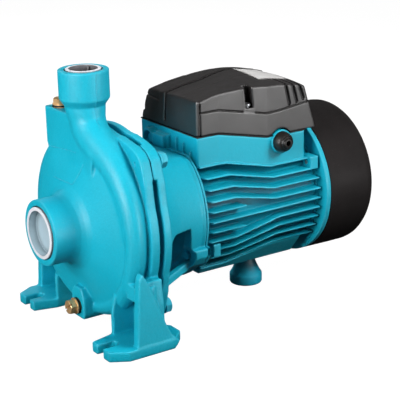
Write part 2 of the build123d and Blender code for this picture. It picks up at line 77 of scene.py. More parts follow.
class Field:
    def __init__(self, lo, hi, h):
        self.h = h
        lo = np.array(lo, float) - 2.5 * h
        n = [int(math.ceil((hi[i] + 2.5 * h - lo[i]) / h)) + 1 for i in range(3)]
        self.lo = lo
        self.x, self.y, self.z = [(lo[i] + h * np.arange(n[i])).astype(np.float32) for i in range(3)]
        self.v = np.full(n, 40.0, np.float32)

    def win(self, box, m):
        out = []
        for ax, i in ((self.x, 0), (self.y, 1), (self.z, 2)):
            if box is None or box[0][i] is None:
                out.append(slice(0, len(ax)))
                continue
            a = int(np.searchsorted(ax, box[0][i] - m))
            b = int(np.searchsorted(ax, box[1][i] + m))
            out.append(slice(max(a - 1, 0), min(max(b + 1, a + 1), len(ax))))
        return tuple(out)

    def put(self, f, box=None, k=0.0, cut=False):
        w = self.win(box, k + 3 * self.h)
        x, y, z = self.x[w[0]][:, None, None], self.y[w[1]][None, :, None], self.z[w[2]][None, None, :]
        d = f(x, y, z).astype(np.float32)
        if cut:
            self.v[w] = -smin(-self.v[w], d, k)
        else:
            self.v[w] = smin(self.v[w], d, k)

    def cut(self, f, box=None, k=0.0):
        self.put(f, box, k, True)

    def blur(self, n=1):
        for _ in range(n):
            for ax in range(3):
                v = self.v
                a = np.take(v, [0], ax)
                b = np.take(v, [-1], ax)
                p = np.concatenate([a, v, b], ax)
                s0 = [slice(None)] * 3
                s1 = [slice(None)] * 3
                s2 = [slice(None)] * 3
                m = v.shape[ax]
                s0[ax], s1[ax], s2[ax] = slice(0, m), slice(1, m + 1), slice(2, m + 2)
                self.v = (0.25 * p[tuple(s0)] + 0.5 * p[tuple(s1)] + 0.25 * p[tuple(s2)]).astype(np.float32)


def revx(pts, yc=0.0, zc=AX, rmax=130.0):
    """Distance to a solid of revolution about an axis along X; pts are (x, radius)."""
    rr = np.arange(0, rmax, 0.35, dtype=np.float32)

    def f(x, y, z):
        xs = x.ravel()
        full = list(pts) + [(p[0], -p[1]) for p in reversed(pts) if p[1] > 0]
        T = poly_sdf(full, np.broadcast_to(xs[:, None], (len(xs), len(rr))), np.broadcast_to(rr[None, :], (len(xs), len(rr))))
        R = np.hypot(y - yc, z - zc)[0]
        out = np.empty((len(xs),) + R.shape, np.float32)
        for i in range(len(xs)):
            out[i] = np.interp(R, rr, T[i])
        return out
    return f


def revz(pts, xc, yc, rmax=60.0):
    rr = np.arange(0, rmax, 0.35, dtype=np.float32)

    def f(x, y, z):
        zs = z.ravel()
        full = list(pts) + [(-p[0], p[1]) for p in reversed(pts) if p[0] > 0]
        T = poly_sdf(full, np.broadcast_to(rr[None, :], (len(zs), len(rr))), np.broadcast_to(zs[:, None], (len(zs), len(rr))))
        R = np.hypot(x - xc, y - yc)[:, :, 0]
        out = np.empty(R.shape + (len(zs),), np.float32)
        for i in range(len(zs)):
            out[:, :, i] = np.interp(R, rr, T[i])
        return out
    return f


def cylx(r, x0, x1, yc=0.0, zc=AX):
    return lambda x, y, z: slab(np.hypot(y - yc, z - zc) - r, np.abs(x - (x0 + x1) / 2) - (x1 - x0) / 2)


def cyly(r, y0, y1, xc, zc):
    return lambda x, y, z: slab(np.hypot(x - xc, z - zc) - r, np.abs(y - (y0 + y1) / 2) - (y1 - y0) / 2)


def cylz(r, z0, z1, xc, yc):
    return lambda x, y, z: slab(np.hypot(x - xc, y - yc) - r, np.abs(z - (z0 + z1) / 2) - (z1 - z0) / 2)


def box(x0, x1, y0, y1, z0, z1):
    def f(x, y, z):
        a = np.abs(x - (x0 + x1) / 2) - (x1 - x0) / 2
        b = np.abs(y - (y0 + y1) / 2) - (y1 - y0) / 2
        c = np.abs(z - (z0 + z1) / 2) - (z1 - z0) / 2
        out = np.sqrt(np.maximum(a, 0) ** 2 + np.maximum(b, 0) ** 2 + np.maximum(c, 0) ** 2)
        return out + np.minimum(np.maximum(np.maximum(a, b), c), 0)
    return f


def pyz(pts, x0, x1):
    """Polygon in YZ, from x0 to x1."""
    def f(x, y, z):
        Y, Z = np.broadcast_arrays(y, z)
        return slab(poly_sdf(pts, Y[0].astype(float), Z[0].astype(float))[None], np.abs(x - (x0 + x1) / 2) - (x1 - x0) / 2)
    return f


def pxz(pts, y0, y1):
    def f(x, y, z):
        X, Z = np.broadcast_arrays(x, z)
        return slab(poly_sdf(pts, X[:, 0].astype(float), Z[:, 0].astype(float))[:, None, :], np.abs(y - (y0 + y1) / 2) - (y1 - y0) / 2)
    return f


def pxy(pts, z0, z1):
    def f(x, y, z):
        X, Y = np.broadcast_arrays(x, y)
        return slab(poly_sdf(pts, X[:, :, 0].astype(float), Y[:, :, 0].astype(float))[:, :, None], np.abs(z - (z0 + z1) / 2) - (z1 - z0) / 2)
    return f


def capsule(a, b, ra, rb):
    a, b = np.array(a, float), np.array(b, float)
    ab = b - a
    L = float(ab @ ab)

    def f(x, y, z):
        t = np.clip(((x - a[0]) * ab[0] + (y - a[1]) * ab[1] + (z - a[2]) * ab[2]) / L, 0, 1)
        return np.sqrt((x - a[0] - ab[0] * t) ** 2 + (y - a[1] - ab[1] * t) ** 2 + (z - a[2] - ab[2] * t) ** 2) - (ra + (rb - ra) * t)
    return f


def tube(path):
    """Smooth tube through (x, y, z, radius) points; one field, the nearest stretch wins."""
    q = np.array(path, float)
    q = np.vstack([2 * q[0] - q[1], q, 2 * q[-1] - q[-2]])
    fine = []
    for i in range(1, len(q) - 2):
        for t in (0.0, 0.25, 0.5, 0.75):
            fine.append(tuple(0.5 * (2 * q[i] + (q[i + 1] - q[i - 1]) * t + (2 * q[i - 1] - 5 * q[i] + 4 * q[i + 1] - q[i + 2]) * t * t
                                     + (3 * q[i] - q[i - 1] - 3 * q[i + 1] + q[i + 2]) * t ** 3)))
    path = fine + [tuple(q[-2])]
    segs = [capsule(path[i][:3], path[i + 1][:3], path[i][3], path[i + 1][3]) for i in range(len(path) - 1)]

    def f(x, y, z):
        d = segs[0](x, y, z)
        for s in segs[1:]:
            d = smin(d, s(x, y, z), 0.6)
        return d
    return f


def hexagon(af, a0=0.0):
    r = af / math.sqrt(3)
    return [(r * math.cos(a0 + i * math.pi / 3), r * math.sin(a0 + i * math.pi / 3)) for i in range(6)]


def nets(fld):
    """Surface nets: one vertex for each cell the surface passes through."""
    v, h = fld.v, fld.h
    s = v < 0
    cnt = np.zeros(tuple(n - 1 for n in v.shape), np.int8)
    for i in (0, 1):
        for j in (0, 1):
            for k in (0, 1):
                cnt += s[i:s.shape[0] - 1 + i, j:s.shape[1] - 1 + j, k:s.shape[2] - 1 + k]
    act = (cnt > 0) & (cnt < 8)
    I = np.argwhere(act)
    idx = np.full(act.shape, -1, np.int32)
    idx[act] = np.arange(len(I), dtype=np.int32)
    off = np.array([(i, j, k) for i in (0, 1) for j in (0, 1) for k in (0, 1)])
    V = np.stack([v[I[:, 0] + o[0], I[:, 1] + o[1], I[:, 2] + o[2]] for o in off], 1)
    acc = np.zeros((len(I), 3))
    num = np.zeros(len(I))
    for a in range(8):
        for b in range(a + 1, 8):
            if np.abs(off[a] - off[b]).sum() != 1:
                continue
            m = (V[:, a] < 0) != (V[:, b] < 0)
            t = V[m, a] / (V[m, a] - V[m, b])
            acc[m] += off[a] + t[:, None] * (off[b] - off[a])
            num[m] += 1
    P = fld.lo + h * (I + acc / num[:, None])
    quads = []
    for ax in range(3):
        n0 = [slice(None)] * 3
        n1 = [slice(None)] * 3
        n0[ax], n1[ax] = slice(0, -1), slice(1, None)
        for o in [i for i in range(3) if i != ax]:
            n0[o] = n1[o] = slice(1, -1)
        sa, sb = s[tuple(n0)], s[tuple(n1)]
        E = np.argwhere(sa != sb)
        neg = sa[tuple(E.T)]
        base = E.copy()
        for o in [i for i in range(3) if i != ax]:
            base[:, o] += 1
        u, w = [(1, 2), (2, 0), (0, 1)][ax]
        c = []
        for du, dw in ((-1, -1), (0, -1), (0, 0), (-1, 0)):
            q = base.copy()
            q[:, u] += du
            q[:, w] += dw
            c.append(idx[tuple(q.T)])
        Q = np.stack(c, 1)
        Q[~neg] = Q[~neg][:, ::-1]
        quads.append(Q)
    return P, np.concatenate(quads)


def relax(P, Q, n=1, lam=0.5):
    """Light smoothing along the mesh."""
    for _ in range(n):
        acc = np.zeros_like(P)
        num = np.zeros(len(P))
        for a in range(4):
            i, j = Q[:, a], Q[:, (a + 1) % 4]
            np.add.at(num, i, 1)
            for c in range(3):
                acc[:, c] += np.bincount(i, P[j, c], len(P)) + 0
            np.add.at(num, j, 1)
            for c in range(3):
                acc[:, c] += np.bincount(j, P[i, c], len(P))
        P = P + lam * (acc / np.maximum(num, 1)[:, None] - P)
    return P


def to_mesh(name, P, Q, smooth=True):
    P = np.array(P, float).copy()
    P[:, 0] -= XO
    P *= 0.001
    Q = np.asarray(Q)
    me = bpy.data.meshes.new(name)
    me.vertices.add(len(P))
    me.vertices.foreach_set("co", P.astype(np.float32).ravel())
    k = Q.shape[1]
    me.loops.add(Q.size)
    me.loops.foreach_set("vertex_index", Q.astype(np.int32).ravel())
    me.polygons.add(len(Q))
    me.polygons.foreach_set("loop_start", np.arange(0, Q.size, k, dtype=np.int32))
    me.polygons.foreach_set("loop_total", np.full(len(Q), k, np.int32))
    me.update(calc_edges=True)
    me.validate()
    if smooth:
        me.polygons.foreach_set("use_smooth", np.ones(len(Q), bool))
    ob = bpy.data.objects.new(name, me)
    bpy.context.scene.collection.objects.link(ob)
    return ob


def bake_modifiers(ob):
    dg = bpy.context.evaluated_depsgraph_get()
    ev = ob.evaluated_get(dg)
    me = bpy.data.meshes.new_from_object(ev)
    old = ob.data
    ob.modifiers.clear()
    ob.data = me
    me.name = ob.name
    bpy.data.meshes.remove(old)
    return ob


def field_object(name, fld, ratio=None, soften=1):
    P, Q = nets(fld)
    if soften:
        P = relax(P, Q, soften, 0.35)
    ob = to_mesh(name, P, Q)
    if ratio:
        m = ob.modifiers.new("d", "DECIMATE")
        m.ratio = ratio
        bake_modifiers(ob)
        ob.data.polygons.foreach_set("use_smooth", np.ones(len(ob.data.polygons), bool))
    return ob


def lathe(name, prof, axis="x", centre=(0, 0, 0), seg=96, close=True, flip=False):
    """Turned piece: prof is (along, radius) points, mm."""
    prof = [tuple(map(float, p)) for p in prof]
    n = len(prof)
    P, Q = [], []
    for i in range(seg):
        a = 2 * math.pi * i / seg
        c, s = math.cos(a), math.sin(a)
        for (u, r) in prof:
            if axis == "x":
                P.append((centre[0] + u, centre[1] + r * c, centre[2] + r * s))
            elif axis == "z":
                P.append((centre[0] + r * c, centre[1] + r * s, centre[2] + u))
            else:
                P.append((centre[0] + r * s, centre[1] + u, centre[2] + r * c))
    m = n if close else n - 1
    for i in range(seg):
        j = (i + 1) % seg
        for k in range(m):
            l = (k + 1) % n
            Q.append((i * n + k, i * n + l, j * n + l, j * n + k) if not flip else (i * n + k, j * n + k, j * n + l, i * n + l))
    ob = to_mesh(name, P, Q)
    clean(ob)
    return ob


def clean(ob):
    """Welds the axis points and turns every face outwards."""
    import bmesh
    bm = bmesh.new()
    bm.from_mesh(ob.data)
    bmesh.ops.remove_doubles(bm, verts=bm.verts, dist=1e-6)
    bmesh.ops.dissolve_degenerate(bm, dist=1e-7, edges=bm.edges)
    bmesh.ops.recalc_face_normals(bm, faces=bm.faces)
    bm.to_mesh(ob.data)
    bm.free()


def rounded(prof, rad, steps=4, closed=True):
    """Rounds the corners of a 2-D outline; rad is one number or one for each corner."""
    n = len(prof)
    out = []
    for i in range(n):
        p = np.array(prof[i], float)
        r = rad[i] if isinstance(rad, (list, tuple)) else rad
        if r <= 0 or (not closed and i in (0, n - 1)):
            out.append(tuple(p))
            continue
        a, b = np.array(prof[i - 1], float), np.array(prof[(i + 1) % n], float)
        u, w = a - p, b - p
        lu, lw = np.linalg.norm(u), np.linalg.norm(w)
        if lu < 1e-6 or lw < 1e-6:
            out.append(tuple(p))
            continue
        u, w = u / lu, w / lw
        ang = math.acos(float(np.clip(u @ w, -1, 1)))
        if ang > math.pi - 0.05:
            out.append(tuple(p))
            continue
        t = min(r / math.tan(ang / 2), lu * 0.48, lw * 0.48)
        p0, p1 = p + u * t, p + w * t
        for s in range(steps + 1):
            q = s / steps
            out.append(tuple((1 - q) ** 2 * p0 + 2 * q * (1 - q) * p + q * q * p1))
    return out


def sharp(ob, deg=35):
    """Smooth shading with creases above an angle."""
    me = ob.data
    me.polygons.foreach_set("use_smooth", np.ones(len(me.polygons), bool))
    me.set_sharp_from_angle(angle=math.radians(deg))


# ---------------------------------------------------------------- pump casing
def flange(x0, x1):
    """Flange disc with four blunt ears, each a little fuller towards the top or bottom than the side."""
    loc = [(60, -44), (70, -41), (81.6, -33.0), (91.1, -21.0), (95.1, -13.4), (99.0, -6.1), (100.9, -2.0), (101.3, 2.0), (100.7, 7.9), (98.0, 13.8), (94.9, 20.2), (84.8, 34.3), (74, 44), (60, 50)]
    q = math.sqrt(0.5)

    def f(x, y, z):
        Y, Z = np.broadcast_arrays(y, z)
        Y, Z = Y[0].astype(float), Z[0].astype(float)
        d = np.hypot(Y, Z - AX) - 87.5
        for sy in (-1, 1):
            for sz in (-1, 1):
                o = [(sy * (r - t) * q, AX + sz * (r + t) * q) for r, t in loc]
                if sy * sz > 0:
                    o = list(reversed(o))
                d = smin(d, poly_sdf(o, Y, Z), 3.0)
        return slab(d[None], np.abs(x - (x0 + x1) / 2) - (x1 - x0) / 2)
    return f


CMARK = (-62.6, 163.2)


def skin(ob, origin, direction):
    """Where a straight line first meets the surface, in the work frame (mm)."""
    o = Vector(((origin[0] - XO) / 1000, origin[1] / 1000, origin[2] / 1000))
    hit, loc, nor, idx = ob.ray_cast(o, Vector(direction))
    return (loc.x * 1000 + XO, loc.y * 1000, loc.z * 1000) if hit else None


def bead(name, pts, r, n=8):
    """Thin closed tube through points lying on a surface."""
    if len(pts) < 2:
        return None
    P, Q = [], []
    for i, p in enumerate(pts):
        t = Vector(pts[min(i + 1, len(pts) - 1)]) - Vector(pts[max(i - 1, 0)])
        t.normalize()
        u = t.orthogonal().normalized()
        w = t.cross(u)
        rr = r if 0 < i < len(pts) - 1 else r * 0.35
        for k in range(n):
            a = 2 * math.pi * k / n
            P.append(tuple(Vector(p) + u * (rr * math.cos(a)) + w * (rr * math.sin(a))))
    for i in range(len(pts) - 1):
        for k in range(n):
            l = (k + 1) % n
            Q.append((i * n + k, i * n + l, (i + 1) * n + l, (i + 1) * n + k))
    for base, rev in ((0, True), ((len(pts) - 1) * n, False)):
        c = len(P)
        P.append(tuple(pts[0] if base == 0 else pts[-1]))
        for k in range(0, n, 2):
            q = (c, base + k, base + (k + 1) % n, base + (k + 2) % n)
            Q.append(tuple(reversed(q)) if rev else q)
    ob = to_mesh(name, P, np.array(Q))
    clean(ob)
    return ob


def build_casing():
    h = 0.8
    g = Field((0, -95, 0), (92, 95, 238), h)
    PA = [(0, 0), (0, 30), (19, 30), (24, 31.3), (28, 34.2), (31, 38.5), (33.2, 44.5), (43.6, 73.0), (42.6, 75.5), (42.6, 78.2), (44.0, 81.6),
          (47.2, 84.6), (51.5, 86.0), (55.6, 85.2), (58.6, 83.0), (60.4, 82.0), (61.6, 82.6), (61.8, 87.5), (70.2, 87.5), (70.2, 0)]
    PB = [(0, 0), (0, 30), (19, 30), (24, 31.3), (28, 34.2), (30, 39), (31.5, 50), (33, 62), (35.4, 72.7), (36.6, 76), (38.8, 79.6), (42.2, 83),
          (47.2, 85.6), (51.5, 86.2), (55.6, 85.2), (58.6, 83.0), (60.4, 82.0), (61.6, 82.6), (61.8, 87.5), (70.2, 87.5), (70.2, 0)]
    fa, fb = revx(PA), revx(PB)

    def body(x, y, z):
        a, b = fa(x, y, z), fb(x, y, z)
        ang = y / np.maximum(np.hypot(y, z - AX), 1.0)
        w = np.clip((ang + 0.05) / 0.8, 0, 1)
        w = w * w * (3 - 2 * w)
        return a * (1 - w) + b * w
    g.put(body, ((0, -90, 8), (74, 90, 187)))
    # flange ears, set back from the flange
    ears = flange(61.8, 71.5)
    g.put(lambda x, y, z: np.maximum(ears(x, y, z), 86.0 - np.hypot(y, z - AX)), ((61.8, -90, 7), (71.5, 90, 188)))
    # away from the ears the flange is thinner, which leaves the dark slot behind it
    for k in range(4):
        a0 = math.radians(90 * k)
        n = (math.cos(a0), math.sin(a0))
        g.cut(pyz([(r * n[0] - t * n[1], AX + r * n[1] + t * n[0]) for r, t in [(72.5, -50), (95, -66), (95, 66), (72.5, 50)]], 70.2, 76), ((70.2, -96, 2), (76, 96, 194)))
    # narrower root behind the flange, closed by the bracket's register
    g.put(cylx(72.5, 60, 74.8), ((60, -73, 25), (75, 73, 171)))
    # shoulder that carries the priming plug
    g.put(pyz([(51.5, 197.8), (51.5, 164), (46, 154), (20, 128), (-4, 128), (-30, 150), (-31, 169), (-16, 176.5), (-5, 183.5), (-1, 191), (0, 197.8)], 37.6, 64),
          ((37.6, -31, 128), (64, 52, 198)), k=2.0)
    # the volute runs up the near side into the neck
    path = [(51, 0, 211, 18.1), (51, -0.3, 206, 17.9), (51, -2.2, 201, 16.7), (51, -3.4, 196, 15.8), (51, -6, 189, 15.5), (51, -12, 181.6, 15.5), (51.2, -21.5, 175.2, 15.0),
            (51.8, -33, 168.6, 13.8), (52.3, -45, 161.0, 12.8), (52.7, -55.5, 150.4, 12.1), (53, -64.5, 136.5, 11.4), (53, -70.5, 121, 10.6), (53, -73, 104, 10.0)]
    g.put(tube(path), ((34, -86, 92), (72, 20, 226)), k=2.6)
    # legs
    for s in (-1, 1):
        lo, hi = (-95, -50) if s < 0 else (50, 95)
        foot = [(15.7, s * 56), (15.7, s * 85.6), (31.3, s * 95), (77.4, s * 95), (91.2, s * 81.7), (91.2, s * 66), (76, s * 50.5), (38, s * 50.5)]
        g.put(pxy(foot, 0.0, 9.5), ((15, lo, 0), (92, hi, 10)))
        web = [(38.8, 2), (40.2, 14), (41.8, 40), (42.9, 60), (44.0, 71.5), (46.8, 76.2), (48.4, 74.8), (54.7, 61.8), (63.0, 41.3), (69.5, 25.2), (74.5, 15), (83, 6), (80, 2)]
        g.put(pxz(web, *((-94.6, -86.2) if s < 0 else (86.2, 94.6))), ((38, lo, 0), (84, hi, 78)), k=1.2)
        inner = [(38.5, 2), (38.5, 30), (42, 46), (66, 46), (68, 2)]
        g.put(pxz(inner, *((-55, -50.5) if s < 0 else (50.5, 55))), ((38, lo, 0), (70, hi, 48)), k=1.2)
        wall = [(s * 51, 2), (s * 93, 2), (s * 91.5, 45), (s * 89, 66), (s * 60, 66), (s * 51, 42)]
        g.put(pyz(wall, 60, 69.5), ((60, lo, 0), (70, hi, 68)), k=1.2)
        g.put(pxz([(50, 38), (52.5, 66), (61, 66), (66, 38)], *((-89.5, -82) if s < 0 else (82, 89.5))), ((48, lo, 36), (68, hi, 68)), k=2.0)
        gus = [(s * 70, 48), (s * 92.5, 48), (s * 91.5, 61), (s * 70, 63)]
        g.put(pyz(gus, 44.0, 61), ((43, lo, 46), (62, hi, 65)), k=1.5)
    # drain boss
    g.put(pyz([(-12, 14), (-10, 9.5), (9, 9.5), (12, 14), (10, 33), (5, 39), (-7, 39), (-12, 30)], 33, 60), ((33, -12, 9), (60, 12, 39)), k=2.0)
    g.blur(1)
    # machined parts: discharge boss, suction face
    g.put(revz(rounded([(0, 206.4), (18.2, 206.4), (22.5, 212.4), (22.5, 238), (0, 238)], [0, 1.2, 2.0, 0.9, 0]), 51, 0), ((28, -23, 205), (74, 23, 238)), k=0.6)
    for s in (-1, 1):
        g.cut(box(0, 28.5, s * 70 - 4.75, s * 70 + 4.75, -5, 12), ((0, s * 70 - 5, -3), (28.5, s * 70 + 5, 12)), k=1.6)
        g.cut(cylz(4.75, -5, 12, 28.5, s * 70), ((22, s * 70 - 6, -3), (34, s * 70 + 6, 12)), k=0.8)
    # bores
    g.cut(cylx(24.2, -5, 9), ((-3, -25, 72), (9, 25, 123)), k=0.6)
    g.cut(cylx(22.42, 0, 27), ((-3, -25, 72), (28, 25, 123)), k=0.4)
    g.cut(cylx(19, 20, 46.5), ((20, -25, 72), (46, 25, 123)))
    g.cut(cylx(66, 46, 64.2), ((46, -66, 30), (65, 66, 165)))
    g.cut(cylx(70, 64, 80), ((64, -71, 26), (80, 71, 170)))
    for y, z in LOBES:
        g.cut(cylx(4.0, 66, 76, y, AX + z), ((66, y - 5, AX + z - 5), (76, y + 5, AX + z + 5)))
    g.cut(cylz(16.8, 229, 245, 51, 0), ((33, -18, 228), (69, 18, 240)), k=0.6)
    g.cut(cylz(15.15, 212, 230, 51, 0), ((33, -18, 210), (69, 18, 232)))
    g.cut(cylz(9.5, 156, 214, 53, -3), ((42, -14, 154), (64, 8, 216)))
    # seats of the two plugs
    g.cut(cylz(6.9, 185, 205, 47, 38), ((38, 30, 184), (56, 46, 200)))
    g.cut(cylx(6.9, 25, 44, 0, 21), ((28, -8, 12), (45, 8, 30)))
    ob = field_object("casing", g, ratio=0.34)
    # casting marks and the mould line, as fine beads on the skin
    marks = []
    for a, b in (((30.0, 136.6), (-5.7, 137.5)), ((-5.7, 137.5), (-16.2, 158.0)), ((50, 160.6), (24, 163.2)), ((24, 163.2), (-4, 165.4))):
        pts = [((a[0] + (b[0] - a[0]) * t), (a[1] + (b[1] - a[1]) * t)) for t in np.linspace(0, 1, 12)]
        marks.append([skin(ob, (10, y, z), (1, 0, 0)) for y, z in pts])
    marks.append([skin(ob, (50.6, -60, z), (0, 1, 0)) for z in np.linspace(190, 236.6, 24)])
    c = [math.radians(q) for q in range(60, 301, 20)]
    ring = [skin(ob, (20, CMARK[0] + 1.7 * math.cos(q), CMARK[1] + 2.5 * math.sin(q)), (1, 0, 0)) for q in c]
    marks.append([q for q in ring if q is not None and q[0] > 61])
    rad = [0.62, 0.62, 0.48, 0.48, 0.34, 0.62]
    for m in marks[:4]:
        for i in range(1, len(m)):
            if m[i] is None or m[i - 1] is None or abs(m[i][0] - m[i - 1][0]) > 1.6:
                del m[i:]
                break
    obs = [bead("mark%d" % i, [q for q in m if q is not None], rad[i]) for i, m in enumerate(marks)]
    return merge("casing", [ob] + [o for o in obs if o is not None])


def build_bracket():
    h = 0.8
    g = Field((64, -88, 8), (133, 88, 187), h)
    g.put(flange(71.9, 82.4), ((71.9, -88, 7), (82.4, 88, 188)))
    for k in range(4):
        a0 = math.radians(90 * k)
        n = (math.cos(a0), math.sin(a0))
        g.cut(pyz([(r * n[0] - t * n[1], AX + r * n[1] + t * n[0]) for r, t in [(70.5, -49), (95, -66), (95, 66), (70.5, 49)]], 66, 75.2), ((66, -96, 2), (75.2, 96, 194)))
    drum = [(80, 82.5), (84, 81.6), (86, 80.3), (92, 77.4), (100, 74.2), (112, 70.6), (124, 67.6), (128.6, 66.6), (129.2, 67.4), (132, 67.4), (132, 52.6), (120, 52.6), (112, 61), (96, 65), (84, 67), (80, 67)]
    g.put(revx(drum), ((80, -84, 12), (133, 84, 182)), k=1.2)
    # flat arms of the front ring carry the two lower screws
    for s in (-1, 1):
        arm = [(s * 52, 76), (s * 69, 74), (s * 68.2, 66), (s * 62.5, 58), (s * 58, 55), (s * 50, 52)]
        g.put(pyz(arm, 116.0, 131.8), ((116, min(s * 50, s * 70), 50), (132, max(s * 50, s * 70), 77)), k=0.8)
    g.blur(1)
    # saddle in front of the terminal box
    g.cut(pxz([(86, 190), (91, 176), (97, 165), (106, 156.5), (114, 153.4), (136, 153.4), (136, 200), (86, 200)], -49, 49), ((84, -52, 150), (136, 52, 190)), k=5.0)
    # the saddle has its own floor, which closes the drum below the terminal box
    pan = pxz([(91, 175.7), (97, 164.7), (106, 156.2), (114, 153.1), (126, 153.1), (126, 148.6), (112, 148.6), (102.5, 152.0), (92.5, 161.5), (86, 172)], -60, 60)
    g.put(lambda x, y, z: np.maximum(pan(x, y, z), np.hypot(y, z - AX) - 67.0), ((86, -60, 146), (127, 60, 178)), k=0.4)
    # side windows, open below, with a flat band left for the ring
    for s in (-1, 1):
        win = rounded([(86.5, 0), (87.5, 92), (92, 97), (112.5, 96.5), (114.2, 77), (119.0, 71), (119.5, 61), (116.5, 56), (116.5, 0)], [0, 3.0, 3.0, 1.0, 2.0, 2.0, 2.0, 1.5, 0], 4)
        g.cut(pxz(win, *((-95, -18) if s < 0 else (18, 95))), ((86, -90 if s < 0 else 18, 0), (120, -18 if s < 0 else 90, 98)), k=0.6)
    g.cut(pyz([(-39, 0), (-45, 44), (-20, 64), (20, 64), (45, 44), (39, 0)], 85, 118), ((84, -48, 0), (119, 48, 66)), k=1.0)
    for s in (-1, 1):
        rib = pxz([(82, 43.0), (82, 51.0), (119, 61.5), (119, 53.5)], -90, 90)
        pl = pxy([(82, s * 66.5), (82, s * 59.5), (119, s * 50.5), (119, s * 57)], 20, 80)
        g.put(lambda x, y, z, rib=rib, pl=pl: np.maximum(rib(x, y, z), pl(x, y, z)), ((82, min(s * 50, s * 68), 42), (120, max(s * 50, s * 68), 63)), k=0.8)
    # seal plate, hub and bearing web
    g.put(revx([(65.5, 17.5), (65.5, 69.9), (77, 69.9), (77, 26), (84, 24), (84, 12), (77, 12), (77, 17.5)]), ((65, -70, 27), (84, 70, 168)))
    g.put(revx([(110, 20.2), (110, 27), (118, 31), (120.5, 56), (132, 56), (132, 52.5), (124.2, 50), (124.2, 20.2)]), ((109, -60, 37), (132, 60, 158)), k=1.0)
    g.cut(cylx(12.0, 60, 90), ((60, -13, 84), (90, 13, 111)))
    g.cut(cylx(20.0, 112, 124.2), ((111, -21, 76), (125, 21, 119)))
    g.cut(cylx(52.5, 124.2, 140), ((124, -53, 44), (140, 53, 151)))
    g.cut(cylx(6.6, 127, 136, *EARTH), ((126, 16, 149), (134, 33, 165)))
    for y, z in LOBES:
        g.cut(cylx(4.6, 70, 90, y, AX + z), ((70, y - 5, AX + z - 5), (90, y + 5, AX + z + 5)))
    for y, z in LUGS_F:
        g.cut(cylx(4.9, 100, 119.6, y, z), ((100, y - 6, z - 6), (120, y + 6, z + 6)), k=0.6)
        g.cut(cylx(2.7, 110, 140, y, z), ((110, y - 4, z - 4), (133, y + 4, z + 4)))
    return field_object("bracket", g, ratio=0.36)


# ---------------------------------------------------------------- motor housing
XS = [136.0, 159.0, 208.0, 252.0]
ZB = [142.9, 142.9, 133.6, 133.6]
ZT = [170.6, 170.6, 161.0, 161.0]
HALF_X, HALF_Y = [136.0, 159.0, 208.0, 264.0], [48.2, 48.2, 55.3, 55.3]
GL = (223.8, 155.2)
EARTH = (24.5, 157.2)


def fin_line(k):
    zf = 94.5 + 9.8 * k
    if k in (1, -1):
        return [130, 177], [zf, zf], 177.5
    if k == 0:
        return [130, 264], [zf, 95.3], 270
    zr = 95.3 + 9.5 * (k - (1 if k > 0 else -1))
    return ([130, 165, 211, 264] if k > 0 else [130, 168, 216, 264]), [zf, zf, zr, zr], 270


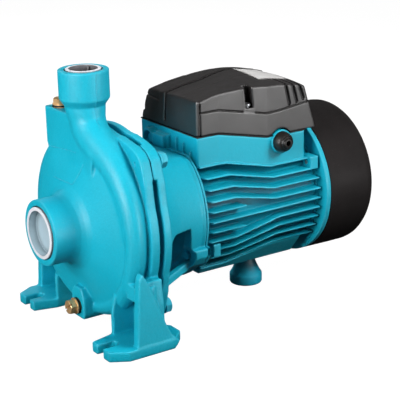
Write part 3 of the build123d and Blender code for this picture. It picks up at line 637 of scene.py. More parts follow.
def build_housing():
    h = 0.7
    g = Field((125.5, -66.5, 36), (264, 66.5, 171), h)
    g.put(cylx(56.8, 132, 264), ((131, -58, 40), (264, 58, 155)))
    # the flat underside and its sloping sides
    def skirt(x, y, z):
        Y, Z = np.broadcast_arrays(y, z)
        d = poly_sdf([(-36.5, 37.3), (36.5, 37.3), (53.5, 58.5), (52, 80), (-52, 80), (-53.5, 58.5)], Y[0].astype(float), Z[0].astype(float))[None]
        top = np.interp(x.ravel(), [130, 168, 216, 264], [44.2, 44.2, 56.2, 56.2]).astype(np.float32)[:, None, None]
        return np.maximum(np.maximum(d, z - top), np.maximum(141 - x, x - 250))
    g.put(skirt, ((140, -56, 36), (252, 56, 60)), k=0.6)
    # terminal box base, drawn down to the barrel
    plan = rounded([(136, -48.2), (159, -48.2), (208, -55.3), (252, -55.3), (252, 55.3), (208, 55.3), (159, 48.2), (136, 48.2)], [2.4, 0, 0, 2.4, 2.4, 0, 0, 2.4], 4)
    fp = pxy(plan, 60, 220)

    def base(x, y, z):
        xs = x.ravel()
        top = np.interp(xs, XS, ZT).astype(np.float32)[:, None, None]
        bot = np.interp(xs, [130, 165, 211, 264], [142.6, 142.6, 133.0, 133.0]).astype(np.float32)[:, None, None]
        return np.maximum(fp(x, y, z), np.maximum((z - top) * 0.98, (bot - z) * 0.98))
    g.put(base, ((135, -56, 130), (253, 56, 171)), k=0.8)
    g.blur(1)
    # fins
    lim = revx([(133.6, 50), (133.6, 56.5), (140.8, 66.0), (263.2, 66.0), (263.2, 50)])
    w = g.win(((131, -67, 40), (264, 67, 148)), 2)
    x, y, z = g.x[w[0]][:, None, None], g.y[w[1]][None, :, None], g.z[w[2]][None, None, :]
    L = lim(x, y, z)
    R = np.hypot(y, z - AX)
    for k in range(-5, 6):
        xs, zs, end = fin_line(k)
        zc = np.interp(x.ravel(), xs, zs).astype(np.float32)[:, None, None]
        z0, z1 = min(zs) - 4, max(zs) + 4
        zi = slice(int(np.searchsorted(g.z[w[2]], z0)), int(np.searchsorted(g.z[w[2]], z1)))
        t = 1.30 - 0.058 * np.clip(R[:, :, zi] - 57, 0, 9)
        d = np.maximum(L[:, :, zi], np.abs(z[:, :, zi] - zc) * 0.985 - t)
        if end < 260:
            d = np.maximum(d, x - end - 0.35 * (R[:, :, zi] - 66))
        v = g.v[w]
        v[:, :, zi] = smin(v[:, :, zi], d.astype(np.float32), 0.7)
        g.v[w] = v
    # ledge along the lower edge of the box
    def ledge(x, y, z):
        zc = np.interp(x.ravel(), [130, 165, 211, 264], [143.3, 143.3, 133.6, 133.6]).astype(np.float32)[:, None, None]
        hw = np.interp(x.ravel(), HALF_X, HALF_Y).astype(np.float32)[:, None, None] + 1.5
        return np.maximum(np.maximum(np.abs(z - zc) - 0.85, np.abs(y) - hw), np.maximum(137.5 - x, x - 262.5))
    g.put(ledge, ((136, -58, 130), (264, 58, 147)), k=0.4)
    # front ring with lugs
    g.put(revx([(132.2, 50), (132.2, 67.0), (134.6, 67.0), (135.4, 62), (136, 50)]), ((131, -68, 30), (138, 68, 165)), k=0.4)
    for s in (-1, 1):
        arm = [(s * 52, 76), (s * 69, 74), (s * 68.2, 66), (s * 62.5, 58), (s * 58, 55), (s * 50, 52)]
        g.put(pyz(arm, 132.2, 134.8), ((132, min(s * 50, s * 70), 50), (136, max(s * 50, s * 70), 77)), k=0.4)
    g.cut(box(127, 136, -48, 48, 153.4, 175), ((128, -48, 153), (136, 48, 172)), k=0.6)
    for y, z in LUGS_F:
        s = 1 if y > 0 else -1
        lo = min(s * 46, s * 61)
        g.put(box(143.0, 150.6, lo, lo + 15, z - 6.2, z + 6.2), ((142, lo - 2, z - 8), (152, lo + 17, z + 8)), k=0.7)
    for y, z in LUGS_R:
        s = 1 if y > 0 else -1
        lo = min(s * 46, s * 61)
        g.put(box(254.8, 263.4, lo, lo + 15, z - 5.8, z + 6.4), ((253, lo - 2, z - 8), (265, lo + 17, z + 8)), k=0.7)
    # gland boss, the hood over the earth screw, small ribs on the front wall
    g.put(cyly(11.0, -57.2, -48, GL[0], GL[1]), ((212, -58, 140), (240, -47, 167)), k=0.5)
    g.put(box(133.0, 138, -4, 36, 150, 165.0), ((132, -6, 149), (139, 38, 168)), k=0.8)
    g.put(cylx(9.6, 128.6, 138, *EARTH), ((127.6, 13, 146), (139, 36, 169)), k=0.6)
    g.put(box(127.4, 138, -3.5, 14.5, 153.4, 164.6), ((126.6, -6, 152), (139, 17, 168)), k=1.6)
    g.cut(cylx(7.3, 127, 135.0, *EARTH), ((127, 16, 149), (136, 33, 166)), k=0.5)
    g.cut(box(127, 133.4, 13, 36, 140, 154.0), ((127, 12, 140), (134, 37, 156)), k=0.5)
    for yy, zt in ((-15.5, 165.5), (-27, 162.4), (-38, 156.2)):
        g.put(box(133.8, 137, yy - 0.65, yy + 0.65, 140, zt), ((133, yy - 2, 139), (138, yy + 2, zt + 1)), k=0.4)
    # hollow of the box, stator bore, screw holes
    inner = [(140, -44.2), (159, -44.2), (208, -51.3), (248, -51.3), (248, 51.3), (208, 51.3), (159, 44.2), (140, 44.2)]
    g.cut(pxy(inner, 158, 190), ((139, -52, 157), (249, 52, 172)))
    g.cut(cylx(52.0, 125, 270), ((130, -53, 44), (265, 53, 151)))
    g.cut(box(150, 156.5, -20, 20, 140, 160), ((149, -21, 145), (158, 21, 160)))
    g.cut(cyly(6.55, -62, -45, GL[0], GL[1]), ((218, -58, 146), (234, -44, 162)))
    g.cut(cylz(3.0, 30, 50, 221.5, 0), ((217, -4, 35), (226, 4, 47)))
    return field_object("motor_case", g, ratio=0.36, soften=0)


# ---------------------------------------------------------------- terminal box cover
NS_X, NS_Z = [136, 150, 158, 171, 185, 200, 223, 243, 252, 257], [203.3, 207.0, 208.7, 209.9, 211.0, 211.2, 210.1, 206.9, 204.4, 202.9]
CZ_X, CZ_Z = [136, 139, 155, 177, 189, 200, 209, 223, 241, 255], [201.4, 202.0, 205.6, 208.6, 211.8, 214.0, 214.6, 212.6, 208.8, 205.0]
FS_X, FS_Z = [136, 146, 165, 185, 202, 226, 240, 251], [195.3, 198.0, 202.2, 204.7, 206.2, 206.8, 205.6, 203.1]


def roof(x, y):
    """Height of the cover: near side almost level up to a crease at y = 8, the far side crowned."""
    sm = np.array([1, 2, 3, 2, 1]) / 9.0

    def line(px, pz):
        xs = np.linspace(130, 270, 141)
        v = np.interp(xs, px, pz)
        v = np.convolve(np.pad(v, 4, mode="edge"), np.ones(9) / 9, "valid")
        return np.interp(x, xs, v)
    a, c, e = line(NS_X, NS_Z), line(CZ_X, CZ_Z), line(FS_X, FS_Z)
    f = 0.55 * c + 0.45 * e + 1.0
    t = np.clip((y + 50.0) / 58.0, -0.3, 1)
    near = a + (c - a) * t + 1.3 * (1 - (2 * t - 1) ** 2)
    c2 = c + 1.5
    u = np.clip((y - 8.0) / 17.0, 0, 1)
    w = np.clip((y - 25.0) / 24.0, 0, 1.3)
    far = np.where(y < 25.0, c2 + (f - c2) * np.sin(u * math.pi / 2), f + (e - f) * w ** 1.6)
    s = 1 / (1 + np.exp(np.clip(-(y - 8.4) / 0.28, -40, 40)))
    return near * (1 - s) + far * s


LABEL = [(213.0, 4.5), (239.5, 4.5), (243.5, -38.0), (211.5, -38.0)]


def build_cover():
    h = 0.56
    g = Field((135, -56, 158), (266, 56, 220), h)
    plan = rounded([(138.4, -48.2), (159, -48.2), (208, -55.3), (266, -55.3), (266, 55.3), (208, 55.3), (159, 48.2), (138.4, 48.2), (136, 45.8), (136, -45.8)], [0.5, 0, 0, 2.6, 2.6, 0, 0, 0.5, 0.5, 0.5], 5)
    fp = pxy(plan, 100, 260)

    Y, X = np.meshgrid(g.y.astype(float), g.x.astype(float))
    H0 = roof(X, Y)
    lean = np.interp(g.y, [-48, 8, 48], [0.0, 2.4, 10.5])

    def shell(x, y, z):
        i = int(np.searchsorted(g.x, x.ravel()[0] - 1e-4))
        j = int(np.searchsorted(g.y, y.ravel()[0] - 1e-4))
        H = H0[i:i + x.size, j:j + y.size][:, :, None]
        d = smax(fp(x, y, z), (z - H) * 0.97, 2.0)
        # leaning rear wall; the front leans back more and more towards the far side
        n = math.hypot(42.4, 12.8)
        rear = ((x - 264.8) * 42.4 + (z - 162.6) * 12.8) / n
        d = smax(d, rear, 1.8)
        fr = 136.2 + np.clip(z - 171.0, 0, 60) / 33.0 * lean[j:j + y.size][None, :, None]
        return smax(d, (fr - x) * 0.97, 1.4)

    def lower(x, y, z):
        return (np.interp(x.ravel(), XS, [v + 1.0 for v in ZT]).astype(np.float32)[:, None, None] - z) * 0.98
    g.put(lambda x, y, z: np.maximum(shell(x, y, z), lower(x, y, z)))
    g.blur(1)
    # lip: the lower band stands a little proud of the upper part, with a fine joint between them
    x, y, z = g.x[:, None, None], g.y[None, :, None], g.z[None, None, :]
    zs = np.interp(g.x, XS + [266.0], [192.9, 192.9, 183.5, 183.5 + 3.6, 183.5 + 4.8]).astype(np.float32)[:, None, None]
    zs = np.interp(g.x, [136, 159, 208, 222, 252, 266], [192.9, 192.9, 183.7, 184.2, 187.6, 189.0]).astype(np.float32)[:, None, None]
    side = np.broadcast_to(((np.abs(y) > 20) & (x > 139.2)) | (x > 240), g.v.shape)
    g.v += np.where(side, 0.30 / (1 + np.exp(np.clip(-(z - zs) / 0.35, -40, 40))), 0).astype(np.float32)
    g.v += (np.where(side, 0.95, 0) * np.exp(-((z - zs) / 0.46) ** 2)).astype(np.float32)
    # panel line: up the front face and along the roof
    top = H0[:, :, None]
    along = ((z > 176.5) & (x < 149)) | ((z > top - 5) & (x < 243))
    g.v += (np.where(along, 3.4, 0) * np.exp(-((y - 7.0) / 1.05) ** 2)).astype(np.float32)
    # fine upright groove beside the front corner
    fade = np.clip((z - 166) / 3, 0, 1) * np.clip((203 - z) / 4, 0, 1) * (np.abs(y) > 45)
    g.v += (1.4 * fade * np.exp(-((x - 139.9) / 0.62) ** 2)).astype(np.float32)
    # grooves near the rear, over both shoulders
    for s in (-1, 1):
        for x0, x1, zb in ((230.0, 234.6, 188.0), (238.2, 242.8, 189.5), (246.0, 250.4, 191.5)):
            for (xa, ya, za), (xb, yb, zb2) in (((x0 - 2.6, 40.5, 0), (x0, 53.0, 0)), ((x0, 54.3, 1), (x1, 54.6, 2))):
                if za == 0:
                    za = float(roof(np.array(xa), np.array(s * ya))) - 0.1
                    zb2 = float(roof(np.array(xb), np.array(s * yb))) - 0.8
                else:
                    za, zb2 = float(roof(np.array(xa), np.array(s * 53.5))) - 1.0, zb
                g.cut(capsule((xa, s * ya, za), (xb, s * yb, zb2), 1.4, 1.4), ((xa - 4, min(s * 38, s * 58), 184), (xb + 4, max(s * 38, s * 58), 218)))
    # hollow inside
    g.v = np.maximum(g.v, -(shell(x, y, z) + 3.4)).astype(np.float32)
    for s in (-1, 1):
        # screw posts, then the recess of each screw
        hw = 53.0
        g.put(lambda x, y, z: np.maximum(np.maximum(box(184.0, 196.2, min(s * 41.5, s * 54), max(s * 41.5, s * 54), 168, 212)(x, y, z), shell(x, y, z) + 0.2), lower(x, y, z)),
              ((183, min(s * 41, s * 55), 160), (197, max(s * 41, s * 55), 214)))
        slot = pxz([(185.2, 222), (185.4, 211), (187.0, 195), (187.2, 191.2), (194.4, 191.2), (194.2, 195), (192.8, 211), (192.6, 222)], min(s * 44.6, s * 62), max(s * 44.6, s * 62))
        g.cut(slot, ((183, min(s * 44, s * 56), 190), (197, max(s * 44, s * 56), 221)), k=0.8)
        g.cut(cylz(2.3, 150, 200, 190.0, s * 49.0), ((186, s * 49 - 4, 160), (194, s * 49 + 4, 194)))
    g.cut(cyly(12.3, -70, -47, GL[0], GL[1]), ((212, -57, 158), (240, -46, 168)))
    return field_object("box_cover", g, ratio=0.36)


def build_label():
    """Blank rating plate, laid on the roof."""
    n, m = 26, 30
    cs = [LABEL[i] for i in range(4)]
    P, Q = [], []
    for top in (0.45, -0.6):
        for i in range(n + 1):
            for j in range(m + 1):
                u, v = i / n, j / m
                px = (1 - u) * (1 - v) * cs[0][0] + u * (1 - v) * cs[1][0] + u * v * cs[2][0] + (1 - u) * v * cs[3][0]
                py = (1 - u) * (1 - v) * cs[0][1] + u * (1 - v) * cs[1][1] + u * v * cs[2][1] + (1 - u) * v * cs[3][1]
                P.append((px, py, float(roof(np.array(px), np.array(min(py, 6.4)))) + top))
    N = (n + 1) * (m + 1)
    at = lambda i, j, k: k * N + i * (m + 1) + j
    for i in range(n):
        for j in range(m):
            Q.append((at(i, j, 0), at(i + 1, j, 0), at(i + 1, j + 1, 0), at(i, j + 1, 0)))
            Q.append((at(i, j, 1), at(i, j + 1, 1), at(i + 1, j + 1, 1), at(i + 1, j, 1)))
    rim = [(i, 0) for i in range(n)] + [(n, j) for j in range(m)] + [(i, m) for i in range(n, 0, -1)] + [(0, j) for j in range(m, 0, -1)]
    for k, (i, j) in enumerate(rim):
        i2, j2 = rim[(k + 1) % len(rim)]
        Q.append((at(i, j, 0), at(i, j, 1), at(i2, j2, 1), at(i2, j2, 0)))
    ob = to_mesh("blank_plate", P, np.array(Q))
    clean(ob)
    sharp(ob, 40)
    return ob


def smax(a, b, k):
    return -smin(-a, -b, k)


# ---------------------------------------------------------------- fan cowl
def build_cowl():
    h = 0.8
    g = Field((271, -72, 25), (328, 72, 170), h)
    prof = [(271.6, 69.35), (271.6, 71.0), (300, 71.5), (316.5, 71.5), (320.6, 70.9), (323.8, 68.9), (326.0, 65.8), (327, 61.5), (327, 0),
            (324.6, 0), (324.6, 60.8), (323.6, 64.4), (321.4, 67.2), (318.4, 68.6), (316.0, 69.2), (280, 69.35)]
    g.put(revx(prof, rmax=80))
    # upright slots through the rear wall, each split at the middle
    cut = None
    for i in range(-6, 7):
        yy = i * 9.0
        half = math.sqrt(56.0 ** 2 - yy ** 2)
        for a, b in ((-half, -3.6), (3.6, half)):
            g.cut(lambda x, y, z: np.maximum(np.hypot(y - yy, z - AX - np.clip(z - AX, a + 2.5, b - 2.5)) - 2.55, 322 - x), ((321, yy - 4, AX + a - 1), (328, yy + 4, AX + b + 1)), k=0.7)
    return field_object("fan_cowl", g, ratio=0.35)


# ---------------------------------------------------------------- small turned and hexagonal pieces
def merge(name, obs):
    for o in obs:
        o.select_set(False)
    dst = obs[0]
    import bmesh
    bm = bmesh.new()
    for o in obs:
        bm.from_mesh(o.data)
    bm.to_mesh(dst.data)
    bm.free()
    for o in obs[1:]:
        me = o.data
        bpy.data.objects.remove(o)
        bpy.data.meshes.remove(me)
    dst.name = name
    dst.data.name = name
    return dst


def hexprism(name, af, length, chamfer=0.9, axis="x", at=(0, 0, 0), direction=1, spin=0.0, washer=None, slot=False):
    """Hexagon head with a turned chamfer; it starts at `at` and grows along the axis."""
    R = af / math.sqrt(3)
    rings = [(0.0, 1.0), (length - chamfer, 1.0), (length, (af / 2 - 0.2) / R)]
    P, Q = [], []
    n = 48
    for u, f in rings:
        for i in range(n):
            a = 2 * math.pi * i / n
            m = (a + math.pi / 6) % (math.pi / 3) - math.pi / 6
            r = (af / 2) / math.cos(m)
            if f < 1.0:
                r = min(r, af / 2 * 0.985)
            elif u > 0:
                r = r
            P.append((u, r, a + spin))
    for k in range(len(rings) - 1):
        for i in range(n):
            j = (i + 1) % n
            Q.append((k * n + i, k * n + j, (k + 1) * n + j, (k + 1) * n + i))
    # arcs of the chamfer: lower the middle ring at the corners only
    pts = []
    for t, (u, r, a) in enumerate(P):
        if n <= t < 2 * n:
            u = length - max(0.0, (r - af / 2 * 0.985)) * 0.9 - 0.05
        pts.append((u, r, a))
    verts = []
    for u, r, a in pts:
        c, s = math.cos(a), math.sin(a)
        if axis == "x":
            verts.append((at[0] + direction * u, at[1] + r * c, at[2] + r * s))
        elif axis == "z":
            verts.append((at[0] + r * c, at[1] + r * s, at[2] + direction * u))
        else:
            verts.append((at[0] + r * c, at[1] + direction * u, at[2] + r * s))
    ob = to_mesh(name, verts, np.array(Q))
    import bmesh
    bm = bmesh.new()
    bm.from_mesh(ob.data)
    bm.verts.ensure_lookup_table()
    top = [bm.verts[2 * n + i] for i in range(n)]
    bot = [bm.verts[i] for i in range(n)]
    bm.faces.new(top)
    bm.faces.new(list(reversed(bot)))
    bmesh.ops.recalc_face_normals(bm, faces=bm.faces)
    bm.to_mesh(ob.data)
    bm.free()
    sharp(ob, 28)
    return ob


def thread_prof(u0, u1, r, pitch, depth, flip=1):
    """Saw-tooth outline for a turned thread between u0 and u1."""
    out = []
    n = max(1, int(abs(u1 - u0) / pitch))
    st = (u1 - u0) / n
    for i in range(n):
        out += [(u0 + st * (i + 0.1), r - depth), (u0 + st * (i + 0.5), r), (u0 + st * (i + 0.6), r)]
    return out


def plate(name, prof, half, axis, centre, c, t):
    """Flat rib standing on a turned piece: prof is (along, radius), half its half thickness."""
    P, Q = [], []
    n = len(prof)
    for side in (-1, 1):
        for u, r in prof:
            a, b = r * c - side * half * t, r * t + side * half * c
            P.append((centre[0] + u, centre[1] + a, centre[2] + b) if axis == "x" else (centre[0] + a, centre[1] + b, centre[2] + u))
    Q = [(i, (i + 1) % n, (i + 1) % n + n, i + n) for i in range(n)] + [(3, 2, 1, 0), (4, 5, 6, 7)]
    ob = to_mesh(name, P, np.array(Q))
    clean(ob)
    return ob


def inner(ob, test):
    """Faces inside a dust cap take the second material, a darker colour that paints the shade inside."""
    for f in ob.data.polygons:
        c = f.center
        if test((c.x * 1000 + XO, c.y * 1000, c.z * 1000)):
            f.material_index = 1


def build_small():
    out = {}
    # dust caps: a white rim, a hollow with a few ribs inside; the inner faces take a darker material as painted shade
    prof = rounded([(-1.5, 20.3), (-1.5, 23.6), (8.2, 23.2), (8.2, 0.0), (6.6, 0.0), (6.6, 19.9)], [0.5, 0.9, 0.6, 0, 0, 1.2], 4)
    a = lathe("suction_dust_cap", prof, "x", (0, 0, AX), 128)
    sharp(a, 40)
    inner(a, lambda c: math.hypot(c[1], c[2] - AX) < 20.2 and -1.0 < c[0] < 6.9)
    out["suction_dust_cap"] = (a, ["suction_cap"], "suction_cap", "white_plastic")
    prof = rounded([(238.5, 12.5), (238.5, 15.9), (229.8, 15.7), (229.8, 0.0), (231.2, 0.0), (231.2, 12.3)], [0.4, 0.7, 0.5, 0, 0, 1.0], 4)
    a = lathe("discharge_dust_cap", prof, "z", (51, 0, 0), 112)
    obs = [a]
    for q in (38, 158, 278):
        c, t = math.cos(math.radians(q)), math.sin(math.radians(q))
        obs.append(plate("dr%d" % q, [(237.2, 10.4), (237.2, 12.7), (231.0, 12.6), (231.0, 9.8)], 0.7, "z", (51, 0, 0), c, t))
    a = merge("discharge_dust_cap", obs)
    sharp(a, 40)
    inner(a, lambda c: math.hypot(c[0] - 51, c[1]) < 13.0 and c[2] < 238.7 and c[2] > 230.5)
    out["discharge_dust_cap"] = (a, ["discharge_cap"], "discharge_cap", "white_plastic")
    # screw plugs and their washers
    pz = 198.5
    sh = lathe("pshank", [(pz - 10, 0), (pz - 10, 5.4), (pz - 9.4, 6.2)] + thread_prof(pz - 9.2, pz + 1.0, 6.5, 1.34, 0.7) + [(pz + 1.3, 6.5), (pz + 1.3, 7.2), (pz + 1.5, 7.4), (pz + 2.4, 7.4), (pz + 2.6, 7.1), (pz + 2.6, 0)], "z", (47, 38, 0), 64)
    sharp(sh, 35)
    hd = hexprism("phead", 12, 4.7, 0.9, "z", (47, 38, pz + 2.5), 1, 0.35)
    out["priming_screw_plug"] = (merge("priming_screw_plug", [sh, hd]), ["priming_plug"], "priming_plug", "brass")
    a = lathe("priming_seal_washer", rounded([(pz, 6.64), (pz, 7.6), (pz + 1.2, 7.6), (pz + 1.2, 6.64)], 0.25, 2), "z", (47, 38, 0), 64)
    sharp(a, 40)
    out["priming_seal_washer"] = (a, ["priming_plug_washer"], "priming_plug", "seal_rubber")
    dx = 32.0
    prof = [(dx + 10, 0), (dx + 10, 5.4), (dx + 9.4, 6.2)] + list(reversed(thread_prof(dx - 1.0, dx + 9.2, 6.5, 1.34, 0.7))) + [(dx - 1.3, 6.5), (dx - 1.3, 7.4), (dx - 1.5, 7.6), (dx - 2.4, 7.6), (dx - 2.6, 7.2), (dx - 2.6, 0)]
    sh = lathe("dshank", prof, "x", (0, 0, 21.0), 64)
    sharp(sh, 35)
    hd = hexprism("dhead", 12, 6.5, 0.9, "x", (dx - 2.5, 0, 21.0), -1, 0.26)
    # screwdriver slot across the head
    cutter = bpy.data.meshes.new("c")
    import bmesh
    bm = bmesh.new()
    bmesh.ops.create_cube(bm, size=1.0)
    M = Matrix.Translation(((dx - 9.6 - XO) / 1000, 0, 0.021)) @ Matrix.Rotation(math.radians(52), 4, "X") @ Matrix.Diagonal((0.0046, 0.0014, 0.02, 1))
    bmesh.ops.transform(bm, matrix=M, verts=bm.verts)
    bm.to_mesh(cutter)
    bm.free()
    co = bpy.data.objects.new("c", cutter)
    bpy.context.scene.collection.objects.link(co)
    m = hd.modifiers.new("b", "BOOLEAN")
    m.operation = "DIFFERENCE"
    m.solver = "EXACT"
    m.object = co
    bake_modifiers(hd)
    bpy.data.objects.remove(co)
    sharp(hd, 28)
    out["drain_screw_plug"] = (merge("drain_screw_plug", [sh, hd]), ["drain_plug"], "drain_plug", "brass")
    a = lathe("drain_seal_washer", rounded([(dx - 1.2, 6.64), (dx - 1.2, 7.6), (dx, 7.6), (dx, 6.64)], 0.25, 2), "x", (0, 0, 21.0), 64)
    sharp(a, 40)
    out["drain_seal_washer"] = (a, ["drain_plug_washer"], "drain_plug", "seal_rubber")
    # casing bolts: hexagon heads with washers
    obs = []
    for i, (y, z) in enumerate(LOBES):
        hd = hexprism("bh%d" % i, 12.6, 5.4, 0.9, "x", (83.6, y, AX + z), 1, 0.2 + 0.37 * i)
        sk = lathe("bs%d" % i, [(83.7, 0), (83.7, 7.0), (83.5, 7.2), (82.7, 7.2), (82.5, 7.0), (82.5, 3.9), (67.5, 3.9), (66.5, 3.2), (66.5, 0)], "x", (0, y, AX + z), 40)
        sharp(sk, 30)
        obs += [hd, sk]
    out["casing_hex_bolts"] = (merge("casing_hex_bolts", obs), ["casing_bolts"], "body", "casting_paint")
    obs = []
    for i, (y, z) in enumerate(LUGS_F):
        obs.append(hexprism("hh%d" % i, 7, 3.3, 0.5, "x", (120.0, y, z), -1, 0.3 * i))
        sk = lathe("hs%d" % i, [(119.9, 0), (119.9, 2.05), (147.3, 2.05), (147.3, 0)], "x", (0, y, z), 24)
        sharp(sk, 30)
        obs.append(sk)
    out["case_screws"] = (merge("case_screws", obs), ["housing_screws"], "body", "casting_paint")
    # cover screws with domed heads and a small round dip in the middle
    obs = []
    for s in (-1, 1):
        sk = lathe("cs%d" % s, [(160.2, 0), (160.2, 2.0), (192.6, 2.0), (192.6, 3.2), (193.6, 3.4), (194.6, 3.1), (195.3, 2.2), (195.5, 1.0), (195.0, 0.8), (194.2, 0.0)], "z", (190.0, s * 49.0, 0), 40)
        sharp(sk, 35)
        obs.append(sk)
    out["box_screws"] = (merge("box_screws", obs), ["cover_screws"], "body", "zinc_steel")
    # earth screw
    hd = hexprism("eh", 8, 3.6, 0.6, "x", (135.3, EARTH[0], EARTH[1]), -1, 0.4)
    sk = lathe("es", [(143, 0), (143, 2.0), (135.9, 2.0), (135.9, 5.4), (135.7, 5.6), (135.2, 5.6), (135.0, 5.4), (135.0, 0)], "x", (0, EARTH[0], EARTH[1]), 40)
    sharp(sk, 30)
    out["earth_bolt"] = (merge("earth_bolt", [hd, sk]), ["earth_screw"], "body", "housing_paint")
    # cable gland: a domed nut with rings round its mouth
    prof = [(-57.3, 6.6), (-57.3, 9.3), (-57.8, 9.55), (-60.6, 9.5), (-63.2, 8.9), (-65.0, 8.0), (-66.0, 7.0), (-66.15, 6.5), (-66.0, 6.25), (-66.5, 5.9), (-67.3, 5.5), (-67.5, 5.0), (-67.3, 4.7), (-67.9, 4.45), (-68.6, 4.0),
            (-68.8, 3.5), (-68.8, 2.9), (-68.4, 2.45), (-67.4, 2.35), (-62.0, 2.35), (-62.0, 6.6)]
    a = lathe("gland_dome", prof, "y", (GL[0] - 1.2, 0, GL[1] + 0.4), 96)
    sharp(a, 40)
    out["gland_dome"] = (a, ["cable_gland_nut", "cable_gland_body"], "body", "black_plastic")
    # support foot
    prof = [(0.0, 6.0), (0.0, 14.4), (0.35, 15.4), (1.2, 15.9), (2.2, 16.0), (8.4, 16.0), (9.4, 15.85), (10.2, 15.4), (11.2, 14.6), (14.5, 12.9), (19, 10.8), (23, 9.3), (27, 8.3), (31, 7.8), (35, 7.8), (36.6, 8.4),
            (37.15, 8.4), (37.15, 3.2), (8.2, 3.2), (8.2, 6.0)]
    a = lathe("rear_support_foot", prof, "z", (221.5, 0, 0), 112)
    sharp(a, 38)
    out["rear_support_foot"] = (a, ["support_foot"], "body", "foot_paint")
    # end shield
    prof = [(256.5, 20.03), (256.5, 26), (262, 28), (264, 40), (264, 46.5), (258, 46.5), (258, 51.9), (264, 51.9), (264.1, 57.6), (266.3, 58.2), (266.3, 69.9), (266.5, 70.6), (267.0, 71.0), (267.8, 71.0),
            (270.9, 71.0), (271.3, 70.8), (271.5, 70.3), (271.5, 69.2), (279, 69.2), (279, 66.5), (270.5, 66.5), (269, 60), (269, 30), (272, 25), (272, 14), (270.1, 14), (270.1, 20.03)]
    a = lathe("end_shield", prof, "x", (0, 0, AX), 160)
    sharp(a, 35)
    out["end_shield"] = (a, ["rear_end_shield"], "body", "housing_paint")
    return out


# ---------------------------------------------------------------- materials
class Mat:
    """Small helper round one node material."""

    def __init__(self, name):
        self.m = bpy.data.materials.new(name)
        self.m.use_nodes = True
        self.t = self.m.node_tree
        self.b = next(n for n in self.t.nodes if n.type == "BSDF_PRINCIPLED")
        self.geo = None

    def node(self, kind, **kw):
        n = self.t.nodes.new(kind)
        for k, v in kw.items():
            setattr(n, k, v)
        return n

    def link(self, a, b):
        self.t.links.new(a, b)

    def set(self, **kw):
        for k, v in kw.items():
            self.b.inputs[k.replace("_", " ")].default_value = v

    def coord(self):
        if self.geo is None:
            self.geo = self.node("ShaderNodeTexCoord").outputs["Object"]
        return self.geo

    def noise(self, scale, detail=4.0, rough=0.55, dist=0.0, stretch=None):
        n = self.node("ShaderNodeTexNoise")
        n.inputs["Scale"].default_value = scale
        n.inputs["Detail"].default_value = detail
        n.inputs["Roughness"].default_value = rough
        n.inputs["Distortion"].default_value = dist
        src = self.coord()
        if stretch:
            mp = self.node("ShaderNodeMapping")
            mp.inputs["Scale"].default_value = stretch
            self.link(src, mp.inputs["Vector"])
            src = mp.outputs["Vector"]
        self.link(src, n.inputs["Vector"])
        return n.outputs["Fac"]

    def voronoi(self, scale, feature="F1"):
        n = self.node("ShaderNodeTexVoronoi", feature=feature)
        n.inputs["Scale"].default_value = scale
        self.link(self.coord(), n.inputs["Vector"])
        return n.outputs["Distance"]

    def ramp(self, src, stops):
        n = self.node("ShaderNodeValToRGB")
        e = n.color_ramp.elements
        e[0].position, e[0].color = stops[0][0], stops[0][1]
        e[1].position, e[1].color = stops[-1][0], stops[-1][1]
        for p, c in stops[1:-1]:
            k = e.new(p)
            k.color = c
        self.link(src, n.inputs["Fac"])
        return n.outputs["Color"]

    def remap(self, src, a, b, c, d):
        n = self.node("ShaderNodeMapRange")
        for i, v in zip((1, 2, 3, 4), (a, b, c, d)):
            n.inputs[i].default_value = v
        self.link(src, n.inputs[0])
        return n.outputs[0]

    def math(self, op, a, b=None):
        n = self.node("ShaderNodeMath", operation=op)
        for i, v in enumerate((a, b)):
            if v is None:
                continue
            if isinstance(v, (int, float)):
                n.inputs[i].default_value = v
            else:
                self.link(v, n.inputs[i])
        return n.outputs[0]

    def mix(self, fac, a, b, kind="MIX"):
        n = self.node("ShaderNodeMix", data_type="RGBA", blend_type=kind)
        if isinstance(fac, (int, float)):
            n.inputs[0].default_value = fac
        else:
            self.link(fac, n.inputs[0])
        for i, v in ((6, a), (7, b)):
            if isinstance(v, tuple):
                n.inputs[i].default_value = v
            else:
                self.link(v, n.inputs[i])
        return n.outputs[2]

    def bump(self, pairs):
        """pairs: (height socket, strength, distance); later ones ride on the earlier."""
        last = None
        for h, s, d in pairs:
            n = self.node("ShaderNodeBump")
            n.inputs["Strength"].default_value = s
            n.inputs["Distance"].default_value = d
            self.link(h, n.inputs["Height"])
            if last is not None:
                self.link(last, n.inputs["Normal"])
            last = n.outputs["Normal"]
        self.link(last, self.b.inputs["Normal"])
        return last


def _shade(self, dist):
    n = self.node("ShaderNodeAmbientOcclusion")
    n.samples = 6
    n.inputs["Distance"].default_value = dist
    return n.outputs["AO"]


Mat.shade = _shade


def rgb(c, f=1.0):
    return (c[0] * f, c[1] * f, c[2] * f, 1.0)


